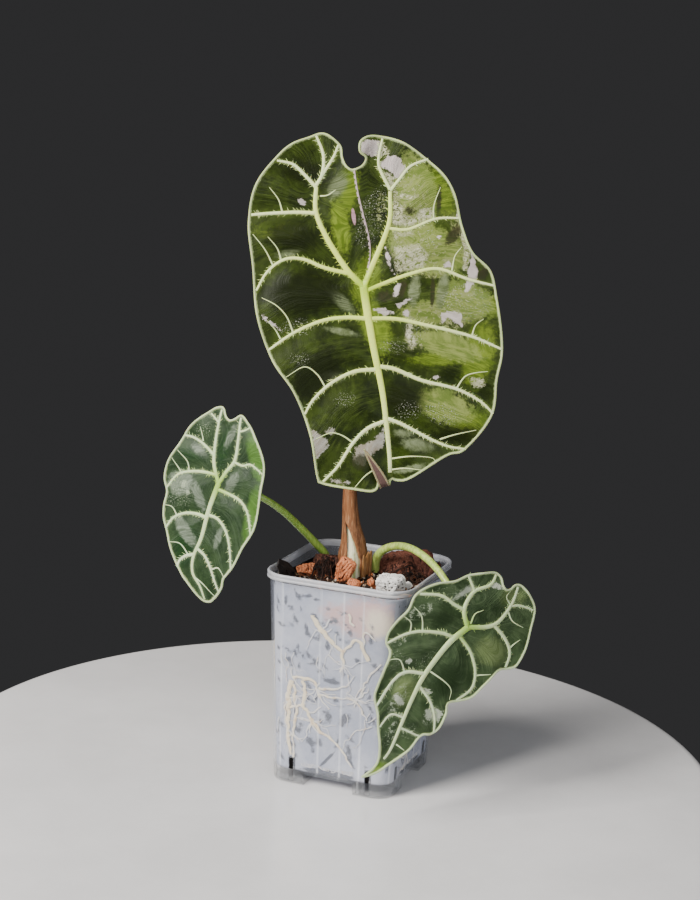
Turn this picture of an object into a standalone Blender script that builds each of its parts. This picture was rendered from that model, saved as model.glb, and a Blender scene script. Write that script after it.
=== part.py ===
"""Potted alocasia: three veined leaves on petioles, in potting mix, in a clear square nursery pot.

The pot stands on its feet on the plane z = 0. Its sides lie along X and Y, and its front is the -Y side.
Lengths are millimetres from the middle of the pot's base; POT_AT then moves the whole plant.
A leaf is drawn flat, x to its right and y from the joint toward the notch, and is then bent and placed.
"""
import math

import bmesh
import bpy
import numpy as np
from mathutils import Vector, noise
from mathutils.geometry import delaunay_2d_cdt

MM = 0.001
POT_AT = (1.6, 15.0, 0.0)
GAP = 0.35

# The pot: a clear tapered square shell with a stepped lip, four hollow feet and drain slots.
RIM_HEIGHT = 103.6
RIM_SIDE = 73.4
LIP_HEIGHT = 3.5
LIP_STEP = 1.5
BASE_SIDE = 61.4
BASE_CORNER = 9.0
RIM_CORNER = 12.5
BASE_CHAMFER = 1.0
POT_WALL = 0.9
FOOT_WALL = 1.1
FLOOR_TOP = 6.4
FLOOR_THICK = 0.8
FOOT_INNER = 12.5
SLOT_WIDTH = 2.1
SLOT_BOTTOM = 1.2
SLOT_TOP = 13.0
SLOT_PLACES = (-19.0, 19.7)

# The potting mix, and the crown that the petioles and roots grow from.
SOIL_LEVEL = 96.0
SOIL_LUMPS = 1.3
CROWN_AT = (-2.0, 4.0, 78.0)
CROWN_SIZE = (9.0, 9.0, 11.0)

# Leaves: a blade of even thickness, and a pale net of veins that lies on its face.
BLADE_THICK = 0.8
VEIN_THICK = 0.8
VEIN_EDGE = 0.5
MARGIN_WIDTH = 1.3
LINE_STEP = 6.5
CELL = 9.0
SHORTEST_EDGE = 0.45
MERGE_REACH = 0.4

MAIN_LEAF = {
    "joint": (-2.3, -7.4, 236.8),
    "facing": 21.0,
    "tilt": 14.0,
    "bend_across": 600.0,
    "bend_along": 900.0,
    "bend_middle": -15.0,
    "pucker": 2.2,
    "pucker_reach": 8.0,
    "outline": [
        (-7.5, 54.0), (-10.5, 55.5), (-12.5, 59.5), (-14.0, 65.5), (-21.5, 70.5), (-28.5, 68.5),
        (-40.0, 62.0), (-51.5, 46.0), (-54.5, 28.0), (-51.5, 7.5), (-48.5, -15.0), (-40.5, -35.5),
        (-29.5, -50.5), (-21.5, -69.0), (-17.5, -87.5), (-14.5, -91.0), (0.5, -93.0), (8.0, -93.5),
        (10.8, -91.5), (11.2, -88.5), (13.2, -98.5), (16.3, -112.0), (17.2, -98.5), (16.4, -88.0),
        (19.5, -88.0), (25.5, -86.5), (41.5, -75.5), (50.0, -72.0), (61.5, -56.0), (63.0, -39.5),
        (65.0, -25.0), (61.5, -3.0), (58.0, 10.0), (49.0, 18.5), (44.0, 30.0), (39.5, 45.5),
        (31.5, 56.5), (15.5, 67.5), (2.0, 70.5), (-4.5, 67.5), (-5.0, 62.0), (-2.0, 59.5), (-3.5, 56.0)],
    "veins": [
        ([(0, 0), (2, -10.5), (6, -28.5), (10.5, -46.5), (13, -60.5), (15.3, -76), (16, -85)], 5.0, 2.2),
        ([(0, 0), (-8, 7.5), (-17.5, 21), (-23.5, 33.5), (-24, 46)], 3.6, 2.4),
        ([(-24, 46), (-21.5, 51.5), (-21.5, 60.5), (-25.5, 70)], 2.2, 1.4),
        ([(-22, 50), (-17, 59), (-14.5, 66)], 2.0, 1.2),
        ([(-24, 45), (-30.5, 51.5), (-35.5, 55.5), (-43.5, 57)], 2.2, 1.3),
        ([(-23.5, 33), (-33, 33), (-45.5, 32), (-54, 31)], 2.3, 1.7),
        ([(-6, 5.5), (-18.5, 8), (-28.5, 11.5), (-37, 11), (-44.5, 5), (-49.5, -4.5)], 2.5, 1.3),
        ([(2.5, -14.5), (-8, -14.5), (-18.5, -16.5), (-31, -22.5), (-43, -31.5)], 2.6, 1.4),
        ([(8, -37.5), (-2.5, -39), (-12.5, -44.5), (-20.5, -52.5), (-24.5, -60)], 2.5, 1.3),
        ([(13.5, -60.5), (5, -64.5), (-1.5, -71.5), (-8, -82.5), (-15, -90.5)], 2.4, 1.4),
        ([(0, 0), (3.5, 10), (8.5, 23.5), (10.5, 32.5), (10, 45.5)], 3.6, 2.2),
        ([(10, 45.5), (5.5, 53.5), (4, 59), (5.5, 70)], 2.0, 1.3),
        ([(10, 45), (14, 50.5), (19, 57), (27.5, 61)], 1.9, 1.3),
        ([(10, 27.5), (19, 27.5), (31.5, 33), (43.5, 34)], 2.0, 1.3),
        ([(1, -2), (8, 1.5), (21, 7), (33.5, 10), (47.5, 6), (60.5, 3.5)], 2.5, 1.4),
        ([(2.5, -14.5), (15, -14), (28.5, -16), (49.5, -20), (65, -25.5)], 2.5, 1.4),
        ([(8, -36), (16, -37), (28.5, -41.5), (44, -44.5), (55.5, -49.5), (62.5, -55.5)], 2.5, 1.3),
        ([(13, -59.5), (20.5, -62), (33.5, -68), (42, -71), (51, -72)], 2.2, 1.2)],
    "folded_tip": {"at": (13.8, -88.5), "toward": (0.32, -0.947), "radius": 1.9, "turn": 168.0, "reach": 2.9,
                   "widening": 0.35},
    "raised": [(-3.5, 64.5, 3.5, 2.5)],
}

LEFT_LEAF = {
    "joint": (-62.1, -29.4, 140.7),
    "facing": -2.0,
    "tilt": 15.0,
    "bend_across": 260.0,
    "bend_along": 500.0,
    "bend_middle": 0.0,
    "pucker": 1.4,
    "pucker_reach": 5.0,
    "outline": [
        (1.0, 30.5), (-1.5, 32.0), (-3.5, 35.5), (-5.5, 36.3), (-9.5, 34.5), (-15.5, 29.5),
        (-21.0, 23.5), (-24.5, 15.5), (-28.5, 7.5), (-29.5, -1.0), (-27.3, -7.5), (-27.3, -14.0),
        (-26.5, -21.0), (-22.0, -30.5), (-16.5, -41.0), (-9.5, -48.5), (-3.5, -54.5), (0.0, -56.0),
        (4.0, -54.5), (8.5, -48.0), (9.5, -43.5), (13.5, -36.5), (18.0, -26.0), (21.5, -17.5),
        (22.5, -8.0), (22.3, 4.0), (21.5, 13.0), (17.5, 21.0), (10.5, 30.0), (6.0, 33.5), (3.0, 31.5)],
    "veins": [
        ([(0, 0), (-3, -12.5), (-5, -26), (-8, -35.5), (-7.5, -43), (-3, -49), (-0.5, -55.5)], 3.4, 1.2),
        ([(0, 0), (-4, 9.5), (-5, 19.5), (-5, 29.5), (-4.5, 35.5)], 2.5, 1.3),
        ([(-5, 28.5), (-10.5, 33)], 1.3, 1.0),
        ([(0, 0), (3, 6), (6.5, 12), (6.5, 21.5), (6, 29), (6, 33)], 2.4, 1.3),
        ([(-4.5, 13), (-11, 17.5), (-17, 20), (-22.5, 20.5)], 1.8, 1.3),
        ([(-2, 4), (-8, 4.5), (-15, 4), (-22.5, 1.5), (-28, -6)], 2.1, 1.2),
        ([(-4, -16.5), (-9, -15.5), (-15.5, -16), (-21.5, -19), (-25.5, -25)], 2.1, 1.3),
        ([(-8, -34.5), (-12.5, -36), (-15.5, -39), (-16, -42.5)], 2.0, 1.4),
        ([(6, 25.5), (9, 26.5), (12.5, 29)], 1.3, 1.0),
        ([(6.5, 11), (11, 10), (15, 11), (22, 7)], 1.6, 1.0),
        ([(-0.5, -2.5), (6, -4), (12.5, -6.5), (17, -12), (20, -22.5)], 2.1, 1.0),
        ([(-3, -15), (2.5, -16.5), (7.5, -22), (10.5, -30.5), (12, -39)], 1.9, 1.0),
        ([(-6.5, -31.5), (-1.5, -35), (2.5, -41.5), (7, -50.5)], 1.7, 1.0)],
    "tail_curl": (-44.0, 0.02),
}

RIGHT_LEAF = {
    "joint": (63.8, -29.0, 90.4),
    "facing": 45.0,
    "tilt": 8.0,
    "bend_across": 320.0,
    "bend_along": 520.0,
    "bend_middle": 0.0,
    "pucker": 1.4,
    "pucker_reach": 5.5,
    "outline": [
        (20.0, 16.0), (18.5, 18.0), (17.8, 21.5), (15.0, 24.0), (9.5, 24.5), (1.5, 24.0), (-6.0, 22.0),
        (-14.5, 21.5), (-21.0, 19.5), (-26.0, 16.0), (-29.5, 10.5), (-34.5, 6.0), (-38.5, 1.0),
        (-39.5, -4.0), (-38.0, -8.5), (-40.5, -15.0), (-43.5, -22.5), (-45.0, -28.0), (-43.5, -35.5),
        (-42.5, -48.5), (-42.3, -57.0), (-44.8, -61.0), (-50.0, -64.8), (-43.0, -63.5), (-36.0, -59.5),
        (-28.0, -54.0), (-22.0, -48.2), (-17.5, -48.0), (-13.5, -45.5), (-10.5, -39.0), (-9.5, -34.3),
        (-4.0, -33.7), (2.5, -32.5), (8.5, -27.5), (15.5, -21.7), (21.0, -21.3), (25.5, -20.0),
        (30.0, -13.0), (33.0, -3.5), (36.0, 5.0), (32.5, 12.5), (28.5, 17.0), (25.0, 17.5), (22.5, 16.0)],
    "veins": [
        ([(0, 0), (-9.5, -6.5), (-20.5, -19), (-26.5, -29.5), (-31.5, -41), (-36.5, -53), (-40, -58)],
         3.8, 1.4),
        ([(0, 0), (-1.5, 8.5), (3.5, 16), (12, 18.5), (15.5, 23.5)], 3.0, 1.6),
        ([(4, 16), (1.5, 22), (0.5, 24)], 1.8, 1.4),
        ([(0, 0), (13.5, 0), (22.5, 8), (27, 17)], 2.8, 1.6),
        ([(22.5, 8), (28, 7.5), (35.5, 4.5)], 1.5, 1.2),
        ([(13.5, 0), (19.5, -7), (22, -14), (19.5, -21)], 2.2, 1.6),
        ([(-1.5, 8), (-6.5, 11), (-13, 15.5), (-24, 17)], 2.0, 1.6),
        ([(-6, -4.5), (-13, -1.5), (-23.5, 0), (-31, -1), (-39.5, -4.5)], 2.1, 1.4),
        ([(-21, -19.5), (-30, -18), (-36.5, -22), (-44, -33)], 2.1, 1.4),
        ([(-30.5, -39), (-37, -37), (-42.5, -43)], 1.3, 1.0),
        ([(-4.5, -3), (1.5, -11.5), (4, -21), (2, -28.5), (-6, -33.5)], 2.1, 1.3),
        ([(-23.5, -25), (-18.5, -32), (-16, -39.5), (-16, -47.5)], 1.7, 1.2),
        ([(-32, -43.5), (-27.5, -46), (-22.5, -48.5)], 1.2, 0.9)],
}

# Petioles: points along each centre line with its radius there, from the soil up to the leaf's joint.
MAIN_PETIOLE = [
    ((-5.2, 3.7, 90.5), 7.0), ((-5.1, 3.4, 96.5), 7.8), ((-5.3, 2.7, 106.0), 7.4),
    ((-5.4, 2.1, 113.5), 6.0), ((-6.4, 0.7, 124.0), 4.3), ((-7.0, -0.6, 138.0), 3.4),
    ((-7.6, 0.2, 163.0), 3.1), ((-7.9, 1.2, 182.0), 2.9), ((-7.8, 2.3, 201.0), 2.7),
    ((-6.6, 1.9, 219.0), 2.5), ((-4.8, -0.3, 231.0), 2.4)]
LEFT_PETIOLE = [
    ((-15.1, 8.5, 90.5), 2.0), ((-17.6, 6.5, 98.0), 2.0), ((-20.5, 4.1, 105.0), 1.9),
    ((-23.8, 0.0, 110.5), 1.9), ((-29.4, -6.1, 118.8), 1.8), ((-35.8, -13.0, 127.5), 1.7),
    ((-43.7, -19.1, 134.2), 1.6), ((-54.1, -22.9, 138.5), 1.5)]
RIGHT_PETIOLE = [
    ((3.0, 10.9, 90.5), 2.1), ((3.6, 9.9, 98.6), 2.1), ((4.5, 8.1, 104.2), 2.1),
    ((8.0, 6.3, 109.6), 2.0), ((15.7, 2.8, 114.0), 1.9), ((24.6, -1.2, 115.3), 1.8),
    ((34.3, -7.2, 113.8), 1.8), ((42.3, -12.6, 110.6), 1.7), ((49.1, -17.5, 106.1), 1.6),
    ((56.1, -21.2, 98.2), 1.5)]

# The split in the main petiole's brown sheath: an upright wedge seen from the front.
SPLIT_FACING = 21.0
SPLIT_TOP = (-2.4, 125.5)
SPLIT_LEFT = (-3.2, 106.0)
SPLIT_RIGHT = (3.6, 106.0)
SPLIT_FOOT = 86.0
SPLIT_BACK = 2.4
SPLIT_FRONT = 14.0

# The papery strip of old sheath beside the main petiole: an upright part of a tube.
STRIP_ARC = (-42.0, 2.0)
STRIP_BOTTOM = 93.5
STRIP_TOP = 110.0
STRIP_THICK = 0.8

# Pieces of the mix that lie on it: place, size, lean and turn in degrees, seed, how rough the surface is.
CHIPS = {
    "bark_chip_left": ((-24.2, -8.3, 98.6), (9.0, 6.0, 8.5), (0, 25), 3, 0.16),
    "bark_chip_front": ((-4.8, -9.1, 101.6), (9.5, 5.0, 12.5), (0, 18), 8, 0.16),
    "bark_chip_small": ((2.4, -14.5, 98.0), (5.5, 4.0, 5.0), (0, 40), 5, 0.16),
    "bark_chip_right": ((10.7, -11.9, 98.2), (4.6, 4.0, 6.0), (0, 70), 9, 0.16),
    "husk_chip_left": ((-16.5, -3.1, 99.6), (12.0, 9.0, 12.5), (0, 15), 12, 0.13),
    "husk_chip_right": ((16.7, 17.5, 99.2), (27.0, 13.5, 17.0), (0, 21), 21, 0.07),
    "husk_chip_corner": ((27.0, 26.9, 98.2), (7.5, 7.0, 7.0), (0, 30), 24, 0.12),
    "bark_strip_left": ((-29.0, -22.5, 102.2), (2.4, 18.0, 8.0), (-30, -6), 31, 0.08),
    "pumice_front": ((20.4, -14.3, 99.4), (14.0, 10.5, 10.5), (0, 15), 41, 0.08),
    "pumice_small": ((25.4, -3.7, 97.2), (5.5, 4.5, 4.0), (0, 60), 44, 0.08),
}

# Roots: the pot wall that each reaches, points on it (along the wall, height), and the radius.
ROOTS = [
    ("front", [(-11.5, 84), (-5, 76), (3.5, 68), (4, 60)], 1.2),
    ("front", [(5, 73), (10, 76), (15, 70), (16.5, 63)], 0.9),
    ("front", [(-17, 55), (-23, 50), (-24, 37), (-23.5, 24), (-21.5, 17)], 1.2),
    ("front", [(-9, 53), (-6, 44), (-10, 32), (-1, 26.5), (7, 17)], 0.9),
    ("front", [(9, 52), (13, 45), (20, 36), (21, 24)], 0.9),
    ("left", [(12, 80), (6, 68), (-4, 60), (-8, 46)], 1.1),
    ("left", [(-14, 66), (-18, 50), (-15, 34), (-20, 22)], 1.0),
    ("right", [(-16, 78), (-8, 68), (-10, 54), (0, 42)], 1.1),
    ("back", [(-18, 76), (-10, 64), (-14, 48), (-6, 34)], 1.1),
]
WALL_TURNS = {"front": 0, "right": 90, "back": 180, "left": 270}

COLOURS = {
    "pot": ((0.62, 0.65, 0.72), 0.35),
    "potting_soil": ((0.045, 0.028, 0.02), 0.95),
    "root_system": ((0.72, 0.62, 0.44), 0.7),
    "main_petiole": ((0.42, 0.16, 0.06), 0.6),
    "inner_shoot": ((0.62, 0.66, 0.38), 0.5),
    "papery_sheath": ((0.55, 0.30, 0.15), 0.8),
    "green_petiole": ((0.22, 0.32, 0.06), 0.45),
    "main_leaf": ((0.05, 0.08, 0.015), 0.3),
    "side_leaf": ((0.04, 0.10, 0.035), 0.35),
    "veins": ((0.62, 0.70, 0.42), 0.45),
    "bark": ((0.50, 0.17, 0.06), 0.85),
    "husk": ((0.10, 0.035, 0.02), 0.9),
    "pumice": ((0.78, 0.76, 0.72), 0.95),
}


def clear_scene():
    for obj in list(bpy.data.objects):
        bpy.data.objects.remove(obj, do_unlink=True)


def make_collection(name):
    collection = bpy.data.collections.new(name)
    bpy.context.scene.collection.children.link(collection)
    return collection


def make_material(name):
    colour, roughness = COLOURS[name]
    material = bpy.data.materials.new(name)
    material.use_nodes = True
    shader = material.node_tree.nodes["Principled BSDF"]
    shader.inputs["Base Color"].default_value = (*colour, 1.0)
    shader.inputs["Roughness"].default_value = roughness
    shader.inputs["Metallic"].default_value = 0.0
    return material


def place_object(name, mesh, material, collection):
    """Link a mesh as a named object that stands in the pot's frame."""
    obj = bpy.data.objects.new(name, mesh)
    collection.objects.link(obj)
    obj.parent = POT_CENTRE
    if material:
        mesh.materials.append(material)
    return obj


def object_from_bmesh(name, bm, material, collection):
    mesh = bpy.data.meshes.new(name)
    bm.to_mesh(mesh)
    bm.free()
    return place_object(name, mesh, material, collection)


def make_cutter(obj):
    obj.hide_render = True
    obj.display_type = "WIRE"
    return obj


def boolean(obj, operation, other):
    """Cut, join or intersect an object with another one, or with a whole collection."""
    modifier = obj.modifiers.new(operation.lower(), "BOOLEAN")
    modifier.operation = operation
    modifier.solver = "EXACT"
    if isinstance(other, bpy.types.Collection):
        modifier.operand_type = "COLLECTION"
        modifier.collection = other
    else:
        modifier.object = other


def apply_modifiers(obj):
    bpy.context.view_layer.update()
    graph = bpy.context.evaluated_depsgraph_get()
    mesh = bpy.data.meshes.new_from_object(obj.evaluated_get(graph))
    obj.modifiers.clear()
    obj.data = mesh


def empty_collection(collection):
    for obj in list(collection.objects):
        bpy.data.objects.remove(obj, do_unlink=True)
    bpy.data.collections.remove(collection)


def rounded_ring(side, corner, z, steps=5):
    """Points round a square with rounded corners, anticlockwise from above."""
    reach = side / 2 - corner
    points = []
    for quarter, (sign_x, sign_y) in enumerate(((1, 1), (-1, 1), (-1, -1), (1, -1))):
        for step in range(steps + 1):
            angle = math.radians(90 * (quarter + step / steps))
            x = sign_x * reach + corner * math.cos(angle)
            y = sign_y * reach + corner * math.sin(angle)
            points.append(Vector((x, y, z)) * MM)
    return points


def loft(name, rings, material, collection):
    """A closed solid through rings of equal point counts, from the lowest ring up."""
    bm = bmesh.new()
    rows = [[bm.verts.new(point) for point in ring] for ring in rings]
    count = len(rows[0])
    for lower, upper in zip(rows, rows[1:]):
        for i in range(count):
            j = (i + 1) % count
            bm.faces.new((lower[i], lower[j], upper[j], upper[i]))
    bm.faces.new(list(reversed(rows[0])))
    bm.faces.new(rows[-1])
    return object_from_bmesh(name, bm, material, collection)


def box(name, low, high, collection):
    """A box between two corners, from the cube primitive."""
    bm = bmesh.new()
    bmesh.ops.create_cube(bm, size=1.0)
    for vert in bm.verts:
        for axis in range(3):
            vert.co[axis] = (low[axis] if vert.co[axis] < 0 else high[axis]) * MM
    return object_from_bmesh(name, bm, None, collection)


def wall_side(z):
    """Outer side of the pot's tapered wall at a height."""
    wall_top = RIM_HEIGHT - LIP_HEIGHT
    return BASE_SIDE + (RIM_SIDE - 2 * LIP_STEP - BASE_SIDE) * z / wall_top


def wall_corner(z):
    return BASE_CORNER + (RIM_CORNER - LIP_STEP - BASE_CORNER) * z / RIM_HEIGHT


def cavity(name, bottom, top, inset, collection):
    """A solid that fills the pot between two heights, clear of the outer wall by inset."""
    rings = [rounded_ring(wall_side(z) - 2 * inset, wall_corner(z) - inset, z) for z in (bottom, top)]
    return loft(name, rings, None, collection)


def make_pot(parts, cutters):
    wall_top = RIM_HEIGHT - LIP_HEIGHT
    rings = [
        rounded_ring(BASE_SIDE - 2 * BASE_CHAMFER, BASE_CORNER - BASE_CHAMFER, 0.0),
        rounded_ring(wall_side(BASE_CHAMFER), BASE_CORNER, BASE_CHAMFER),
        rounded_ring(wall_side(wall_top), wall_corner(wall_top), wall_top),
        rounded_ring(RIM_SIDE, RIM_CORNER, wall_top),
        rounded_ring(RIM_SIDE, RIM_CORNER, RIM_HEIGHT)]
    pot = loft("pot", rings, make_material("pot"), parts)
    inside = cavity("pot_inside", FLOOR_TOP, RIM_HEIGHT + 2, POT_WALL, cutters)
    boolean(pot, "DIFFERENCE", make_cutter(inside))

    # The hollow of the feet, left standing only outside the cross between them.
    pits = make_cutter(cavity("foot_pits", FLOOR_THICK, FLOOR_TOP + 1, FOOT_WALL, cutters))
    arm = FOOT_INNER + FOOT_WALL
    long = BASE_SIDE
    boolean(pits, "DIFFERENCE", make_cutter(box("pit_arm_x", (-long, -arm, -5), (long, arm, 20), cutters)))
    boolean(pits, "DIFFERENCE", make_cutter(box("pit_arm_y", (-arm, -long, -5), (arm, long, 20), cutters)))
    boolean(pot, "DIFFERENCE", pits)

    # The cross-shaped space under the floor between the feet.
    under = FLOOR_TOP - FLOOR_THICK
    under_x = box("under_x", (-long, -FOOT_INNER, -5), (long, FOOT_INNER, under), cutters)
    under_y = box("under_y", (-FOOT_INNER, -long, -5), (FOOT_INNER, long, under), cutters)
    boolean(pot, "DIFFERENCE", make_cutter(under_x))
    boolean(pot, "DIFFERENCE", make_cutter(under_y))

    # Two drain slots near the corners of each side.
    for side_name, turn in WALL_TURNS.items():
        for number, place in enumerate(SLOT_PLACES):
            low = (place - SLOT_WIDTH / 2, -BASE_SIDE / 2 - 2, SLOT_BOTTOM)
            high = (place + SLOT_WIDTH / 2, -BASE_SIDE / 2 + 2, SLOT_TOP)
            slot = make_cutter(box(f"slot_{side_name}_{number}", low, high, cutters))
            slot.rotation_euler.z = math.radians(turn)
            boolean(pot, "DIFFERENCE", slot)
    return pot


def smooth_line(points, step, closed=False):
    """A curve through hand-set points, cut into pieces about one step long that keep every point."""
    knots = np.array(points, dtype=float)
    count = len(knots)
    pieces = count if closed else count - 1
    line = []
    for i in range(pieces):
        start = knots[i]
        end = knots[(i + 1) % count]
        before = knots[i - 1] if closed or i > 0 else 2 * start - end
        after = knots[(i + 2) % count] if closed or i + 2 < count else 2 * end - start
        cuts = max(1, round(float(np.linalg.norm(end - start)) / step))
        for cut in range(cuts):
            t = cut / cuts
            line.append(0.5 * (2 * start + (end - before) * t
                               + (2 * before - 5 * start + 4 * end - after) * t ** 2
                               + (3 * start - before - 3 * end + after) * t ** 3))
    if not closed:
        line.append(knots[-1])
    return np.array(line)


def side_vectors(line, closed=False):
    """Unit vectors to the left of a flat line at each of its points."""
    if closed:
        along = np.roll(line, -1, axis=0) - np.roll(line, 1, axis=0)
    else:
        along = np.gradient(line, axis=0)
    left = np.stack([-along[:, 1], along[:, 0]], axis=1)
    return left / np.linalg.norm(left, axis=1)[:, None]


def line_distance(points, lines):
    """Distance from each flat point to the nearest of some polylines."""
    points = np.atleast_2d(points)
    nearest = np.full(len(points), 1e9)
    for line in lines:
        for start, end in zip(line, line[1:]):
            span = end - start
            t = np.clip((points - start) @ span / max(span @ span, 1e-9), 0, 1)
            gap = np.linalg.norm(points - start - t[:, None] * span, axis=1)
            nearest = np.minimum(nearest, gap)
    return nearest


def leaf_axes(leaf):
    """Right, up and outward directions of a leaf's flat drawing."""
    facing = math.radians(leaf["facing"])
    tilt = math.radians(leaf["tilt"])
    out = Vector((math.sin(facing) * math.cos(tilt), -math.cos(facing) * math.cos(tilt), math.sin(tilt)))
    right = Vector((math.cos(facing), math.sin(facing), 0))
    return right, out.cross(right), out


def leaf_relief(leaf, flat):
    """How far each flat point of the leaf stands out: bent as a whole and puckered between the veins."""
    x, y = flat[:, 0], flat[:, 1]
    middle = leaf["bend_middle"]
    height = -x ** 2 / (2 * leaf["bend_across"])
    height += (middle ** 2 - (y - middle) ** 2) / (2 * leaf["bend_along"])
    lines = [smooth_line(points, 4.0) for points, _, _ in leaf["veins"]]
    away = line_distance(flat, lines) / leaf["pucker_reach"]
    height += leaf["pucker"] * (1 - np.exp(-away ** 2))
    for bump_x, bump_y, reach, rise in leaf.get("raised", []):
        height += rise * np.exp(-((x - bump_x) ** 2 + (y - bump_y) ** 2) / (2 * reach ** 2))
    if "tail_curl" in leaf:
        start, strength = leaf["tail_curl"]
        height -= strength * np.clip(start - y, 0, None) ** 2
    return height


def on_folded_tip(leaf, flat):
    """Which flat points lie past the line where the leaf's tip folds forward."""
    fold = leaf.get("folded_tip")
    if fold is None:
        return np.zeros(len(flat), dtype=bool), np.zeros(len(flat))
    toward = np.array(fold["toward"])
    rel = flat - np.array(fold["at"])
    past = rel @ toward
    across = rel @ np.array([-toward[1], toward[0]])
    return (past > 0) & (np.abs(across) < fold["reach"] + fold["widening"] * past), past


def bend_leaf(leaf, flat):
    """Places in the pot's frame of a leaf's flat points."""
    right, up, out = leaf_axes(leaf)
    height = leaf_relief(leaf, flat)
    folded, past = on_folded_tip(leaf, flat)
    placed = []
    for (x, y), rise, is_folded, beyond in zip(flat, height, folded, past):
        if is_folded:
            fold = leaf["folded_tip"]
            turn = math.radians(fold["turn"])
            angle = min(beyond / fold["radius"], turn)
            rest = beyond - angle * fold["radius"]
            shift = fold["radius"] * math.sin(angle) + rest * math.cos(angle) - beyond
            x += fold["toward"][0] * shift
            y += fold["toward"][1] * shift
            rise += fold["radius"] * (1 - math.cos(angle)) + rest * math.sin(angle)
        placed.append((Vector(leaf["joint"]) + right * x + up * y + out * rise) * MM)
    return placed


def anticlockwise(indices, points):
    loop = np.array([points[i] for i in indices])
    following = np.roll(loop, -1, axis=0)
    area = (loop[:, 0] * following[:, 1] - loop[:, 1] * following[:, 0]).sum()
    return indices if area > 0 else list(reversed(indices))


def leaf_plan(leaf):
    """Flat triangles of a leaf, with each one's mark: on the pale net of veins and margin, or not."""
    outline = smooth_line(leaf["outline"], LINE_STEP, closed=True)
    if polygon_area(outline) < 0:
        outline = outline[::-1]
    closed_outline = np.vstack([outline, outline[:1]])
    inner = inset_points(outline, closed_outline)

    points = [tuple(p) for p in outline]
    faces = [list(range(len(outline)))]

    def add(point):
        gaps = np.linalg.norm(np.array(points) - point, axis=1)
        nearest = int(gaps.argmin())
        if gaps[nearest] < SHORTEST_EDGE:
            return nearest
        points.append(tuple(point))
        return len(points) - 1

    def add_quads(row_a, row_b):
        for i in range(len(row_a) - 1):
            corners = [row_a[i], row_a[i + 1], row_b[i + 1], row_b[i]]
            corners = [c for k, c in enumerate(corners) if c not in corners[:k]]
            if len(corners) > 2:
                faces.append(anticlockwise(corners, points))

    ring = [add(p) for p in inner]
    add_quads(list(range(len(outline))) + [0], ring + ring[:1])
    for knots, start_width, end_width in leaf["veins"]:
        line = smooth_line(knots, LINE_STEP)
        half = np.linspace(start_width, end_width, len(line))[:, None] / 2
        left = side_vectors(line) * half
        rows = [[add(p) for p in row] for row in (line + left, line, line - left)]
        add_quads(rows[0], rows[1])
        add_quads(rows[1], rows[2])

    for point in inner_grid(outline, np.array(points)):
        points.append(tuple(point))
    result = delaunay_2d_cdt([Vector(p) for p in points], [], faces, 1, MERGE_REACH)
    verts, _, triangles, _, _, origins = result
    flat = np.array([(v.x, v.y) for v in verts])
    kept = [(tri, any(o > 0 for o in origin)) for tri, origin in zip(triangles, origins) if 0 in origin]
    return flat, kept


def polygon_area(loop):
    following = np.roll(loop, -1, axis=0)
    return float((loop[:, 0] * following[:, 1] - loop[:, 1] * following[:, 0]).sum() / 2)


def inset_points(outline, closed_outline):
    """The inner edge of the pale margin: narrower where the leaf itself is narrow."""
    left = side_vectors(outline, closed=True)
    inner = []
    for point, side in zip(outline, left):
        for share in (1.0, 0.7, 0.45, 0.3):
            candidate = point + side * MARGIN_WIDTH * share
            if line_distance(candidate, [closed_outline])[0] > MARGIN_WIDTH * share * 0.85:
                break
        inner.append(candidate)
    return inner


def inner_grid(outline, taken):
    """Points of a triangular grid inside the leaf, clear of the points that are already there."""
    low = outline.min(axis=0)
    high = outline.max(axis=0)
    closed_outline = [np.vstack([outline, outline[:1]])]
    rows = np.arange(low[1], high[1], CELL * 0.866)
    found = []
    for number, y in enumerate(rows):
        for x in np.arange(low[0] + (number % 2) * CELL / 2, high[0], CELL):
            point = np.array((x, y))
            if np.linalg.norm(taken - point, axis=1).min() > CELL * 0.5:
                if line_distance(point, closed_outline)[0] > CELL * 0.4:
                    found.append(point)
    return found


def tidy_plan(flat, kept):
    """The flat triangles as a bmesh; material_index 1 marks the pale net."""
    bm = bmesh.new()
    verts = [bm.verts.new((x, y, 0)) for x, y in flat]
    for triangle, on_net in kept:
        face = bm.faces.new([verts[i] for i in triangle])
        face.material_index = int(on_net)
    bmesh.ops.delete(bm, geom=[v for v in bm.verts if not v.link_faces], context="VERTS")
    join_net_corners(bm)
    return bm


def join_net_corners(bm):
    """Where two parts of the net touch only at a point, take in the triangles round that point."""
    changed = True
    while changed:
        changed = False
        for vert in bm.verts:
            net = [f for f in vert.link_faces if f.material_index == 1]
            if not net:
                continue
            group = {net[0]}
            grew = True
            while grew:
                near = [f for f in net if f not in group
                        and any(g in group for e in f.edges if vert in e.verts for g in e.link_faces)]
                group.update(near)
                grew = bool(near)
            if len(group) < len(net):
                for face in vert.link_faces:
                    face.material_index = 1
                changed = True


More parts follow.
